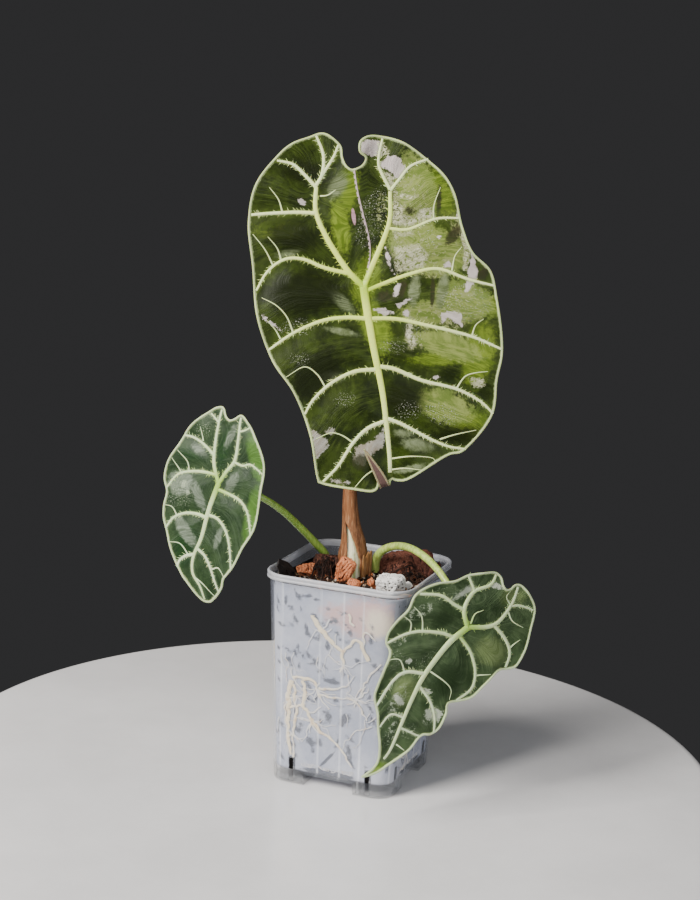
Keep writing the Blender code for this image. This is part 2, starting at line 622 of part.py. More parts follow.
def leaf_solids(name, leaf, blade_material, vein_material, parts):
    """The blade, and the net of pale veins and margin that lies on its face."""
    bm = tidy_plan(*leaf_plan(leaf))
    bm.verts.ensure_lookup_table()
    flat = np.array([(v.co.x, v.co.y) for v in bm.verts])
    for vert, place in zip(bm.verts, bend_leaf(leaf, flat)):
        vert.co = place
    bm.normal_update()

    net = bm.copy()
    folded, _ = on_folded_tip(leaf, flat)
    marks = [f.material_index == 1 for f in net.faces]
    net.verts.ensure_lookup_table()
    lifted = [v.co + v.normal * GAP * MM for v in net.verts]
    lines = [smooth_line(knots, 4.0) for knots, _, _ in leaf["veins"]]
    near_line = line_distance(flat, lines)
    for vert, place in zip(net.verts, lifted):
        vert.co = place
    off_net = [f for f, mark in zip(net.faces, marks) if not mark or any(folded[v.index] for v in f.verts)]
    bmesh.ops.delete(net, geom=off_net, context="FACES_ONLY")
    order = net.verts.layers.int.new("order")
    for index, vert in enumerate(net.verts):
        vert[order] = index
    bmesh.ops.delete(net, geom=[v for v in net.verts if not v.link_faces], context="VERTS")
    keep_largest_piece(net)
    full = [near_line[vert[order]] < SHORTEST_EDGE for vert in net.verts]

    for face in [*bm.faces, *net.faces]:
        face.material_index = 0
    blade = object_from_bmesh(f"{name}_blade", bm, blade_material, parts)
    thicken(blade, BLADE_THICK, -1.0)
    veins = object_from_bmesh(f"{name}_veins", net, vein_material, parts)
    group = veins.vertex_groups.new(name="cord")
    for index, is_full in enumerate(full):
        group.add([index], 1.0 if is_full else 0.0, "REPLACE")
    thickness = thicken(veins, VEIN_THICK + VEIN_EDGE, 1.0)
    thickness.vertex_group = group.name
    thickness.thickness_vertex_group = VEIN_EDGE / (VEIN_THICK + VEIN_EDGE)
    return blade, veins


def keep_largest_piece(bm):
    """Drop any scrap of the net that the rest doesn't reach."""
    left = set(bm.faces)
    pieces = []
    while left:
        piece = {left.pop()}
        edge = list(piece)
        while edge:
            near = {g for f in edge for e in f.edges for g in e.link_faces} & left
            left -= near
            piece |= near
            edge = list(near)
        pieces.append(piece)
    pieces.sort(key=len)
    scraps = [f for piece in pieces[:-1] for f in piece]
    if scraps:
        bmesh.ops.delete(bm, geom=scraps, context="FACES")


def thicken(obj, thickness, offset):
    modifier = obj.modifiers.new("thickness", "SOLIDIFY")
    modifier.thickness = thickness * MM
    modifier.offset = offset
    modifier.use_rim = True
    return modifier


def tube(name, points, radii, sides, material, collection):
    """A solid tube along points, made with a curve's bevel and then turned into a mesh."""
    curve = bpy.data.curves.new(name, "CURVE")
    curve.dimensions = "3D"
    curve.bevel_depth = MM
    curve.bevel_resolution = (sides - 4) // 2
    curve.use_fill_caps = True
    spline = curve.splines.new("POLY")
    spline.points.add(len(points) - 1)
    for point, place, radius in zip(spline.points, points, radii):
        point.co = (*(Vector(place) * MM), 1.0)
        point.radius = radius
    draft = bpy.data.objects.new(name, curve)
    collection.objects.link(draft)
    bpy.context.view_layer.update()
    graph = bpy.context.evaluated_depsgraph_get()
    mesh = bpy.data.meshes.new_from_object(draft.evaluated_get(graph))
    bpy.data.objects.remove(draft, do_unlink=True)
    bpy.data.curves.remove(curve)
    bm = bmesh.new()
    bm.from_mesh(mesh)
    bmesh.ops.remove_doubles(bm, verts=bm.verts, dist=0.00001)
    bmesh.ops.recalc_face_normals(bm, faces=bm.faces)
    bm.to_mesh(mesh)
    bm.free()
    mesh.materials.clear()
    mesh.shade_smooth()
    return place_object(name, mesh, material, collection)


def petiole_route(knots, leaf):
    """A petiole's centre line and radii, ending square to the back of its blade."""
    _, _, out = leaf_axes(leaf)
    joint = Vector(leaf["joint"])
    last = knots[-1][1]
    behind = [(tuple(joint - out * 5.0), last), (tuple(joint - out * (BLADE_THICK + GAP)), last * 0.9)]
    rows = [(*place, radius) for place, radius in [*knots, *behind]]
    line = smooth_line(rows, 7.0)
    return [tuple(row[:3]) for row in line], [row[3] for row in line]


def make_petiole(name, knots, leaf, material, parts, cutters):
    """A petiole, and the wider copy that cuts its hole in what it stands in."""
    points, radii = petiole_route(knots, leaf)
    petiole = tube(name, points, radii, 10, material, parts)
    wide_points = [tuple(Vector(points[0]) - Vector((0, 0, GAP)))] + points[1:]
    wide = tube(f"{name}_hole", wide_points, [r + GAP for r in radii], 10, None, cutters)
    return petiole, make_cutter(wide)


def split_wedge(name, inset, back, collection):
    """An upright wedge with a gable top, standing in front of the main petiole's middle."""
    facing = math.radians(SPLIT_FACING)
    out = Vector((math.sin(facing), -math.cos(facing), 0))
    right = Vector((math.cos(facing), math.sin(facing), 0))
    axis = Vector((MAIN_PETIOLE[2][0][0], MAIN_PETIOLE[2][0][1], 0))
    shape = [
        (SPLIT_TOP[0], SPLIT_TOP[1] - inset * 4), (SPLIT_LEFT[0] + inset, SPLIT_LEFT[1]),
        (SPLIT_LEFT[0] + inset, SPLIT_FOOT), (SPLIT_RIGHT[0] - inset, SPLIT_FOOT),
        (SPLIT_RIGHT[0] - inset, SPLIT_RIGHT[1])]
    rings = []
    for depth in (back, SPLIT_FRONT):
        rings.append([(axis + right * x + out * depth + Vector((0, 0, z))) * MM for x, z in shape])
    wedge = loft(name, rings, None, collection)
    bm = bmesh.new()
    bm.from_mesh(wedge.data)
    bmesh.ops.recalc_face_normals(bm, faces=bm.faces)
    bm.to_mesh(wedge.data)
    bm.free()
    return make_cutter(wedge)


def make_stems(parts, cutters):
    """The three petioles, the pale shoot in the split of the brown one, and the old sheath beside it."""
    brown = make_material("main_petiole")
    green = make_material("green_petiole")
    main, main_hole = make_petiole("main_petiole", MAIN_PETIOLE, MAIN_LEAF, brown, parts, cutters)
    _, left_hole = make_petiole("left_petiole", LEFT_PETIOLE, LEFT_LEAF, green, parts, cutters)
    _, right_hole = make_petiole("right_petiole", RIGHT_PETIOLE, RIGHT_LEAF, green, parts, cutters)
    boolean(main, "DIFFERENCE", split_wedge("split", 0.0, SPLIT_BACK, cutters))

    points, radii = petiole_route(MAIN_PETIOLE, MAIN_LEAF)
    shoot = tube("inner_shoot", points, [r - 0.5 for r in radii], 10, make_material("inner_shoot"), parts)
    boolean(shoot, "INTERSECT", split_wedge("split_inner", GAP, SPLIT_BACK + GAP, cutters))
    return [main_hole, left_hole, right_hole]


def make_strip(parts, cutters):
    """The papery strip: part of a tube round the petiole's foot, torn slantwise at its top."""
    axis = Vector((MAIN_PETIOLE[1][0][0], MAIN_PETIOLE[1][0][1], 0))
    radius = max(r for _, r in MAIN_PETIOLE) + GAP + 0.2
    solids = []
    for name, grow, collection in (("papery_sheath", 0.0, parts), ("papery_sheath_slit", GAP, cutters)):
        bm = bmesh.new()
        columns, rows = 6, 4
        bmesh.ops.create_grid(bm, x_segments=columns, y_segments=rows, size=0.5)
        first, last = STRIP_ARC[0] - grow * 5, STRIP_ARC[1] + grow * 5
        for vert in bm.verts:
            share = vert.co.x + 0.5
            angle = math.radians(first + (last - first) * share)
            top = STRIP_TOP + grow - 4.0 * abs(share - 0.6) + 1.2 * math.sin(share * 19)
            bottom = STRIP_BOTTOM - grow
            z = bottom + (top - bottom) * (vert.co.y + 0.5)
            out = radius - grow + 0.05 * max(0.0, z - SOIL_LEVEL)
            vert.co = (axis + Vector((out * math.cos(angle), out * math.sin(angle), z))) * MM
        material = None if grow else make_material("papery_sheath")
        strip = object_from_bmesh(name, bm, material, collection)
        thicken(strip, STRIP_THICK + 2 * grow, 1.0)
        solids.append(strip)
    return make_cutter(solids[1])


def lump(name, spec, grow, material, collection):
    """One piece of bark, husk or pumice: a roughened ball, flattened to size."""
    place, size, (lean, turn), seed, roughness = spec
    bm = bmesh.new()
    bmesh.ops.create_icosphere(bm, subdivisions=2, radius=0.5)
    squareness = 0.7
    for vert in bm.verts:
        shape = Vector([math.copysign(abs(2 * c) ** squareness / 2, c) for c in vert.co])
        rise = 1 + roughness * 2 * noise.noise(vert.co * 3.1 + Vector((seed, seed * 1.7, 0)))
        vert.co = Vector([shape[axis] * size[axis] * rise for axis in range(3)]) * MM
    bm.normal_update()
    if grow:
        moved = [vert.co + vert.normal * grow * MM for vert in bm.verts]
        for vert, co in zip(bm.verts, moved):
            vert.co = co
    obj = object_from_bmesh(name, bm, material, collection)
    obj.location = Vector(place) * MM
    obj.rotation_euler = (math.radians(lean), 0, math.radians(turn))
    return obj


def make_chips(parts, cutters, keep_clear):
    """Bark, husk and pumice on the mix; each is cut back from the stems and from the pieces before it."""
    materials = {kind: make_material(kind) for kind in ("bark", "husk", "pumice")}
    pockets = []
    for name, spec in CHIPS.items():
        kind = name.split("_")[0]
        chip = lump(name, spec, 0.0, materials[kind], parts)
        for other in keep_clear + pockets:
            if near(chip, other):
                boolean(chip, "DIFFERENCE", other)
        pockets.append(make_cutter(lump(f"{name}_pocket", spec, GAP, None, cutters)))
    return pockets


def near(first, second):
    """Whether two objects' boxes in the pot's frame meet."""
    boxes = []
    for obj in (first, second):
        corners = np.array([obj.matrix_basis @ vert.co for vert in obj.data.vertices])
        boxes.append((corners.min(axis=0), corners.max(axis=0)))
    return bool((boxes[0][0] <= boxes[1][1]).all() and (boxes[1][0] <= boxes[0][1]).all())


def wall_point(wall, along, z, radius):
    """A point just inside a pot wall, a root's radius and the gap away from its inner face."""
    inset = POT_WALL + GAP + radius
    depth = wall_side(z) / 2 - inset
    corner = wall_corner(z) - inset
    past = abs(along) - (depth - corner)
    if past > 0:
        depth -= corner - math.sqrt(corner ** 2 - past ** 2)
    angle = math.radians(WALL_TURNS[wall])
    x, y = along, -depth
    return (x * math.cos(angle) - y * math.sin(angle), x * math.sin(angle) + y * math.cos(angle), z)


def make_roots(name, grow, material, collection):
    """The crown with its roots, which run out to the walls and down along them, as one body."""
    bm = bmesh.new()
    bmesh.ops.create_icosphere(bm, subdivisions=2, radius=1.0)
    for vert in bm.verts:
        vert.co = Vector([(size + grow) * c * MM for size, c in zip(CROWN_SIZE, vert.co)])
        vert.co += Vector(CROWN_AT) * MM
    crown = object_from_bmesh(name, bm, material, collection)
    pieces = make_collection(f"{name}_pieces")
    for number, (wall, knots, radius) in enumerate(ROOTS):
        on_wall = [Vector(wall_point(wall, along, z, radius)) for along, z in smooth_line(knots, 9.0)]
        start = Vector(CROWN_AT) + Vector((0, 0, -1.0 - number % 4))
        half_way = start.lerp(on_wall[0], 0.6) + Vector((0, 0, 2.0))
        line = [tuple(place) for place in (start, half_way, *on_wall)]
        radii = np.linspace(radius, radius * 0.75, len(line)) + grow
        tube(f"{name}_{number}", line, radii, 4, None, pieces)
    boolean(crown, "UNION", pieces)
    apply_modifiers(crown)
    empty_collection(pieces)
    return crown


def make_soil(parts, cutters, holes):
    """The potting mix: a lumpy top, the pot's inside below it, and a hole for all that stands in it."""
    bm = bmesh.new()
    bmesh.ops.create_grid(bm, x_segments=9, y_segments=9, size=RIM_SIDE / 2 * MM)
    top = list(bm.faces)
    for vert in bm.verts:
        lumps = noise.noise(Vector((vert.co.x, vert.co.y, 0)) / (9 * MM)) * SOIL_LUMPS * 2
        stem_x, stem_y, _ = MAIN_PETIOLE[1][0]
        from_stem = math.hypot(vert.co.x / MM - stem_x, vert.co.y / MM - stem_y)
        vert.co.z = (SOIL_LEVEL + lumps + 1.5 * math.exp(-(from_stem / 14) ** 2)) * MM
    lowered = bmesh.ops.extrude_face_region(bm, geom=top)
    for item in lowered["geom"]:
        if isinstance(item, bmesh.types.BMVert):
            item.co.z = -2 * MM
    bmesh.ops.recalc_face_normals(bm, faces=bm.faces)
    soil = object_from_bmesh("potting_soil", bm, make_material("potting_soil"), parts)
    inside = cavity("soil_limit", FLOOR_TOP + GAP, RIM_HEIGHT, POT_WALL + GAP, cutters)
    boolean(soil, "INTERSECT", make_cutter(inside))
    for hole in holes:
        boolean(soil, "DIFFERENCE", hole)
    return soil


def build():
    parts = make_collection("potted_alocasia")
    cutters = make_collection("cutters")
    make_pot(parts, cutters)
    veins = make_material("veins")
    side_green = make_material("side_leaf")
    leaf_solids("main_leaf", MAIN_LEAF, make_material("main_leaf"), veins, parts)
    leaf_solids("left_leaf", LEFT_LEAF, side_green, veins, parts)
    leaf_solids("right_leaf", RIGHT_LEAF, side_green, veins, parts)
    stem_holes = make_stems(parts, cutters)
    strip_slit = make_strip(parts, cutters)
    pockets = make_chips(parts, cutters, [*stem_holes, strip_slit])
    make_roots("root_system", 0.0, make_material("root_system"), parts)
    root_holes = make_cutter(make_roots("root_tunnels", GAP, None, cutters))
    make_soil(parts, cutters, [*stem_holes, strip_slit, *pockets, root_holes])


clear_scene()
POT_CENTRE = bpy.data.objects.new("pot_centre", None)
bpy.context.scene.collection.objects.link(POT_CENTRE)
POT_CENTRE.location = Vector(POT_AT) * MM
build()
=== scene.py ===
import math

import bmesh
import bpy
import numpy as np
from mathutils import Euler, Matrix, Vector, noise
from mathutils.geometry import delaunay_2d_cdt

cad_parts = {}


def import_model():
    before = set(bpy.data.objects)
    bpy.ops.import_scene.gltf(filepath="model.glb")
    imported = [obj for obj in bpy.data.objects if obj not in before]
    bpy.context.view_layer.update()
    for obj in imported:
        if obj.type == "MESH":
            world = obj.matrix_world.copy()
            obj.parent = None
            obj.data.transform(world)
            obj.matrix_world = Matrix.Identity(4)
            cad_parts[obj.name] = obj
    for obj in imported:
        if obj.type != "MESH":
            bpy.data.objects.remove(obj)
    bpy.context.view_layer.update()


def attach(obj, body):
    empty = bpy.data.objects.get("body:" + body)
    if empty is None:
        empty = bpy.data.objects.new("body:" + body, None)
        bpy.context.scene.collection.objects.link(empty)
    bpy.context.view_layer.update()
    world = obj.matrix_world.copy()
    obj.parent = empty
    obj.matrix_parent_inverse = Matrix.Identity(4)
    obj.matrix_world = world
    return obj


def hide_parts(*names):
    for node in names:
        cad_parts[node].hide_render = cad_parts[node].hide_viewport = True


# %% [markdown]
# # A potted alocasia, from the CAD frame to a finished picture
# The frame holds a plain solid for each part of the plant, at its true size and place. This script sets
# finer pieces over them: thin leaves with raised veins, a milky pot, fibrous bark. Each is made from the
# same measurements, so it lies where its solid lies.

# %% Load the frame
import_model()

# %% [markdown]
# ## Lengths, colours and nodes
# The part's measurements are in millimetres from the middle of the pot's base. This script works in the same
# numbers and turns them into Blender's metres at the last moment. A colour is written as the hex value that
# a paint program shows, and is made linear for the shader.

# %% Lengths and colours
MM = 0.001
POT_AT = np.array((1.6, 15.0, 0.0))


def world(points):
    """Blender places of points given in the part's millimetres."""
    return (np.atleast_2d(np.asarray(points, dtype=float)) + POT_AT) * MM


def srgb(hex_colour):
    """The linear colour, with a full alpha, of a hex colour."""
    channels = [int(hex_colour[i:i + 2], 16) / 255 for i in (1, 3, 5)]
    return (*[c / 12.92 if c <= 0.04045 else ((c + 0.055) / 1.055) ** 2.4 for c in channels], 1.0)


print("leaf green in linear light:", [round(c, 3) for c in srgb("#4a5a1c")])

# %% [markdown]
# Shader trees and Geometry Nodes trees are both built from nodes, so one small function serves both: it adds
# a node, sets its properties, and fills its inputs with plain values or links from earlier nodes.

# %% Adding a node
NODE_FAMILIES = ("ShaderNode", "GeometryNode", "FunctionNode")
SHADER = "Principled BSDF"


def add(tree, kind, inputs=(), out=0, **settings):
    """Add a node and return its output socket named or numbered out, or the node itself for None.

    A second word in kind is its operation. Inputs are a list, in the node's own order, or a dict.
    """
    kind, *operation = kind.split()
    node = tree.nodes.new(next(name + kind for name in NODE_FAMILIES if hasattr(bpy.types, name + kind)))
    for name, value in [*settings.items(), *zip(["operation"], operation)]:
        setattr(node, name, value)
    for key, value in inputs.items() if isinstance(inputs, dict) else enumerate(inputs):
        if isinstance(value, bpy.types.NodeSocket):
            tree.links.new(value, node.inputs[key])
        elif value is not None:
            node.inputs[key].default_value = value
    return node if out is None else node.outputs[out]


def new_material(name, **constants):
    """A material with constants on its main shader, and its tree."""
    material = bpy.data.materials.new(name)
    material.use_nodes = True
    for key, value in constants.items():
        material.node_tree.nodes[SHADER].inputs[key.replace("_", " ")].default_value = value
    return material, material.node_tree


print("nodes are added by one function")

# %% [markdown]
# Nearly every surface here is built the same way. Noise at a few scales gives it grain, colours are laid
# over one another where that noise passes a threshold, and the grain also sets the roughness and a bump.

# %% Grain, layers of colour and finish
def grain_noises(tree, stretch, *scales, in_mm=None):
    """Noises over the object, one a scale in blobs a millimetre; a stretch below 1 makes them tall."""
    if in_mm is None:
        place = add(tree, "TexCoord", out="Object")
        in_mm = add(tree, "Mapping", {"Vector": place, "Scale": (1 / MM, 1 / MM, stretch / MM)})
    return [add(tree, "TexNoise", {"Vector": in_mm, "Scale": scale, "Detail": 6, "Roughness": 0.65})
            for scale in scales]


def value_of(tree, name, out="Fac"):
    """What each point of the mesh stores under a name."""
    return add(tree, "Attribute", (), out, attribute_name=name)


def lay_colours(tree, base, *layers):
    """Lay colours over a base, each by an amount where its value passes from start to stop."""
    colour = srgb(base) if isinstance(base, str) else base
    for value, start, stop, amount, tint in layers:
        share = add(tree, "MapRange", [value, start, stop, 0, amount], interpolation_type="SMOOTHSTEP")
        tint = srgb(tint) if isinstance(tint, str) else tint
        colour = add(tree, "Mix", {0: share, 6: colour, 7: tint}, 2, data_type="RGBA")
    return colour


def finish(material, colour, grain, smoothest, roughest, strength, depth, height=None):
    """Link the colour, let the grain set the roughness, and make a bump of a depth in millimetres."""
    tree = material.node_tree
    rough = add(tree, "MapRange", [grain, 0, 1, smoothest, roughest])
    bump = add(tree, "Bump", {"Height": height or grain, "Strength": strength, "Distance": depth * MM})
    for key, value in (("Base Color", colour), ("Roughness", rough), ("Normal", bump)):
        tree.links.new(value, tree.nodes[SHADER].inputs[key])
    return material


print("materials share four helpers")

# %% [markdown]
# Every finished piece rides on the plant's one body, and stands for a solid of the CAD model. One function
# says both, so no piece is forgotten.

# %% Pieces, their faces and values
def new_object(name, data):
    thing = bpy.data.objects.new(name, data)
    bpy.context.scene.collection.objects.link(thing)
    return thing


def mesh_piece(name, verts, faces, materials, face_materials=None, smooth=True):
    """A mesh object from places in metres, with an optional material number for each face."""
    mesh = bpy.data.meshes.new(name)
    mesh.from_pydata([tuple(v) for v in verts], [], [tuple(f) for f in faces])
    for material in materials:
        mesh.materials.append(material)
    if face_materials is not None:
        mesh.polygons.foreach_set("material_index", np.asarray(face_materials, dtype=np.int32))
    mesh.polygons.foreach_set("use_smooth", [smooth] * len(mesh.polygons))
    mesh.update()
    return new_object(name, mesh)


def grid_faces(rows, columns):
    """Quads of a grid of points, given row by row."""
    starts = [row * columns + a for row in range(rows - 1) for a in range(columns - 1)]
    return [(a, a + 1, a + columns + 1, a + columns) for a in starts]


def ring_faces(ring_count, size, capped=True):
    """Quads between rings of equal size, and a cap at each end."""
    last = (ring_count - 1) * size
    faces = [(ring + a, ring + b, ring + size + b, ring + size + a)
             for ring in range(0, last, size) for a, b in zip(range(size), [*range(1, size), 0])]
    return faces + [tuple(reversed(range(size))), tuple(range(last, last + size))] * capped


def set_values(mesh, name, values):
    """Store a number or a row of three for each vertex."""
    values = np.asarray(values, dtype=np.float32)
    kind, key = ("FLOAT", "value") if values.ndim == 1 else ("FLOAT_VECTOR", "vector")
    mesh.attributes.new(name, kind, "POINT").data.foreach_set(key, values.ravel())


def get_values(mesh, name, size=1):
    """What a mesh stores for its vertices under a name."""
    numbers = np.empty(len(mesh.vertices) * size)
    mesh.attributes[name].data.foreach_get("value" if size == 1 else "vector", numbers)
    return numbers if size == 1 else numbers.reshape(-1, size)


def move_to(mesh, places):
    """Put each vertex at a place in metres, and shade the mesh smooth."""
    mesh.vertices.foreach_set("co", places.ravel())
    mesh.polygons.foreach_set("use_smooth", [True] * len(mesh.polygons))
    mesh.update()


def hand_over(piece, slot, *nodes):
    """The piece rides with the plant and stands for CAD nodes, which are hidden; slot is not used."""
    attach(piece, "root")
    if nodes:
        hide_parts(*nodes)
    print(f"{piece.name}: {sum(len(p.vertices) - 2 for p in piece.data.polygons)} triangles")
    return piece


def apply_modifiers(piece):
    """Turn the piece's modifiers into plain mesh."""
    graph = bpy.context.evaluated_depsgraph_get()
    mesh = bpy.data.meshes.new_from_object(piece.evaluated_get(graph))
    piece.modifiers.clear()
    piece.data = mesh
    return piece


def modify(piece, kind, **settings):
    """Put a modifier on a piece and turn the result into plain mesh."""
    modifier = piece.modifiers.new(kind.lower(), kind)
    for name, value in settings.items():
        setattr(modifier, name, value)
    return apply_modifiers(piece)


def merge_doubles(mesh):
    """Merge vertices that lie on each other, drop flat scraps and turn the faces outwards."""
    bm = bmesh.new()
    bm.from_mesh(mesh)
    bmesh.ops.remove_doubles(bm, verts=bm.verts, dist=0.002 * MM)
    bmesh.ops.recalc_face_normals(bm, faces=bm.faces)
    bm.to_mesh(mesh)
    bm.free()


print("pieces can be made and handed over")

# %% [markdown]
# ## Camera, light and table
# The camera stands where the photographer stood: a little to the plant's right and above it, about 0.9 m
# away, with a portrait lens and the small tilt of a camera held by hand. Its turn is worked out from the
# three directions of its own frame, so the tilt is part of the same step.

# %% Camera
LENS = 77.05
SENSOR_LONG_SIDE = 36.0
VIEW_AZIMUTH = math.radians(21.14)
VIEW_ELEVATION = math.radians(12.55)
VIEW_ROLL = math.radians(2.65)
VIEW_DISTANCE = 0.9041
TARGET_RIGHT = -0.0077
TARGET_HEIGHT = 0.1588
LEVEL_RIGHT = Vector((math.cos(VIEW_AZIMUTH), math.sin(VIEW_AZIMUTH), 0))
LEVEL_NEAR = Vector((math.sin(VIEW_AZIMUTH), -math.cos(VIEW_AZIMUTH), 0))


def make_camera():
    data = bpy.data.cameras.new("camera")
    data.lens = LENS
    data.sensor_fit = "VERTICAL"
    data.sensor_height = SENSOR_LONG_SIDE
    data.dof.use_dof = False
    camera = new_object("camera", data)
    back = LEVEL_NEAR * math.cos(VIEW_ELEVATION) + Vector((0, 0, math.sin(VIEW_ELEVATION)))
    right = LEVEL_RIGHT * math.cos(VIEW_ROLL) + back.cross(LEVEL_RIGHT) * math.sin(VIEW_ROLL)
    target = Vector(POT_AT * MM) + LEVEL_RIGHT * TARGET_RIGHT + Vector((0, 0, TARGET_HEIGHT))
    place = target + back * VIEW_DISTANCE
    turned = Matrix((right, back.cross(right), back)).transposed().to_4x4()
    camera.matrix_world = Matrix.Translation(place) @ turned
    bpy.context.scene.camera = camera
    return place


print("camera at", [round(c, 3) for c in make_camera()])

# %% [markdown]
# Daylight from a large window stands to the left and in front, and throws the pot's shadow to the right and
# back. It's far enough to the side that the waxy leaves don't mirror it, so their green stays dark. A broad
# weak light fills from the right, and a dim grey room is all round.

# %% Soft light
# Each lamp: place in metres, width, power in watts and colour.
LIGHTS = {
    "window": ((-0.99, -1.42, 1.5), 0.9, 110, "#fffbf6"),
    "fill": ((1, -1.05, 0.65), 1.3, 16, "#f8faff")}
LIGHTS_AIM = Vector((0, 0, 0.15))
ROOM_GREY = "#313132"


def make_light(name, place, width, power, colour):
    data = bpy.data.lights.new(name, "AREA")
    data.shape = "SQUARE"
    data.size = width
    data.energy = power
    data.color = srgb(colour)[:3]
    light = new_object(name, data)
    light.location = place
    light.rotation_euler = (LIGHTS_AIM - Vector(place)).to_track_quat("-Z", "Y").to_euler()


for light_name, light_values in LIGHTS.items():
    make_light(light_name, *light_values)
room = bpy.context.scene.world or bpy.data.worlds.new("room")
bpy.context.scene.world = room
room.use_nodes = True
room.node_tree.nodes["Background"].inputs["Color"].default_value = srgb(ROOM_GREY)
print("lights:", ", ".join(LIGHTS))

# %% [markdown]
# The plant stands on a round white table top. Lacquer is nearly white, and smooth enough to mirror the pot's
# feet faintly. It is a low disc with a rounded edge, drawn out towards the camera so it fills the lower part
# of the picture.

# %% Table top
TABLE_RADIUS = 0.193
TABLE_NEAR_REACH = 1.7
TABLE_AT = Vector((-0.014, 0.0165, 0))
TABLE_EDGE = 0.006
TABLE_STEPS = 180


def table_top():
    """A disc whose top is the plane z = 0, as rings from the middle out and down."""
    material, tree = new_material("white_lacquered_table", IOR=1.5)
    cloud, = grain_noises(tree, 1, 0.012)
    colour = lay_colours(tree, "#dad9d9", (cloud, 0.3, 0.7, 1, "#e4e3e3"))
    finish(material, colour, cloud, 0.16, 0.26, 0.05, 0.1)
    profile = [(0.0, 0.0), (TABLE_RADIUS * 0.5, 0.0), (TABLE_RADIUS - TABLE_EDGE, 0.0)]
    for turn in np.radians(range(15, 181, 15)):
        profile.append((TABLE_RADIUS - TABLE_EDGE * (1 - math.sin(turn)),
                        -TABLE_EDGE * (1 - math.cos(turn))))
    verts = []
    for radius, z in profile + [(0.0, -2 * TABLE_EDGE)]:
        for turn in np.arange(TABLE_STEPS) * 2 * math.pi / TABLE_STEPS:
            near = radius * math.sin(turn) * (TABLE_NEAR_REACH if math.sin(turn) > 0 else 1.0)
            verts.append(TABLE_AT + LEVEL_RIGHT * radius * math.cos(turn) + LEVEL_NEAR * near
                         + Vector((0, 0, z)))
    floor = mesh_piece("table_top", verts, ring_faces(len(profile) + 1, TABLE_STEPS), [material])
    merge_doubles(floor.data)
    return floor


print("table top radius:", TABLE_RADIUS, table_top().name)

# %% [markdown]
# ## The leaves as drawings
# Each leaf is drawn flat first, in millimetres: x to the leaf's right, y up from the joint where its petiole
# meets it. The outline and the veins are short lists of points, read along the leaf of the photograph, and a
# smooth curve is run through them. The same drawing made the CAD solid, so the two agree.

# %% Smooth lines through drawn points
def smooth_line(points, step, closed=False):
    """A curve through every hand-set point, in pieces about one step long."""
    knots = np.array(points, dtype=float)
    count = len(knots)
    pieces = count if closed else count - 1
    line = []
    for i in range(pieces):
        start = knots[i]
        end = knots[(i + 1) % count]
        before = knots[i - 1] if closed or i > 0 else 2 * start - end
        after = knots[(i + 2) % count] if closed or i + 2 < count else 2 * end - start
        cuts = max(1, round(float(np.linalg.norm(end - start)) / step))
        for cut in range(cuts):
            t = cut / cuts
            line.append(0.5 * (2 * start + (end - before) * t
                               + (2 * before - 5 * start + 4 * end - after) * t ** 2
                               + (3 * start - before - 3 * end + after) * t ** 3))
    if not closed:
        line.append(knots[-1])
    return np.array(line)


def side_vectors(line):
    """Unit vectors to the left of a closed flat line."""
    along = np.roll(line, -1, axis=0) - np.roll(line, 1, axis=0)
    left = np.stack([-along[:, 1], along[:, 0]], axis=1)
    return left / np.linalg.norm(left, axis=1)[:, None]


def closed_loop(points):
    """A line that comes back to its first point."""
    return np.vstack([points, points[:1]])


def line_distance(points, lines):
    """Distance from each flat point to the nearest of some polylines."""
    points = np.atleast_2d(points)
    nearest = np.full(len(points), 1e9)
    for line in lines:
        for start, end in zip(line, line[1:]):
            span = end - start
            t = np.clip((points - start) @ span / max(span @ span, 1e-9), 0, 1)
            gap = np.linalg.norm(points - start - t[:, None] * span, axis=1)
            nearest = np.minimum(nearest, gap)
    return nearest


print("a smooth line:", len(smooth_line([(0, 0), (5, 1), (9, 4)], 1)), "points")

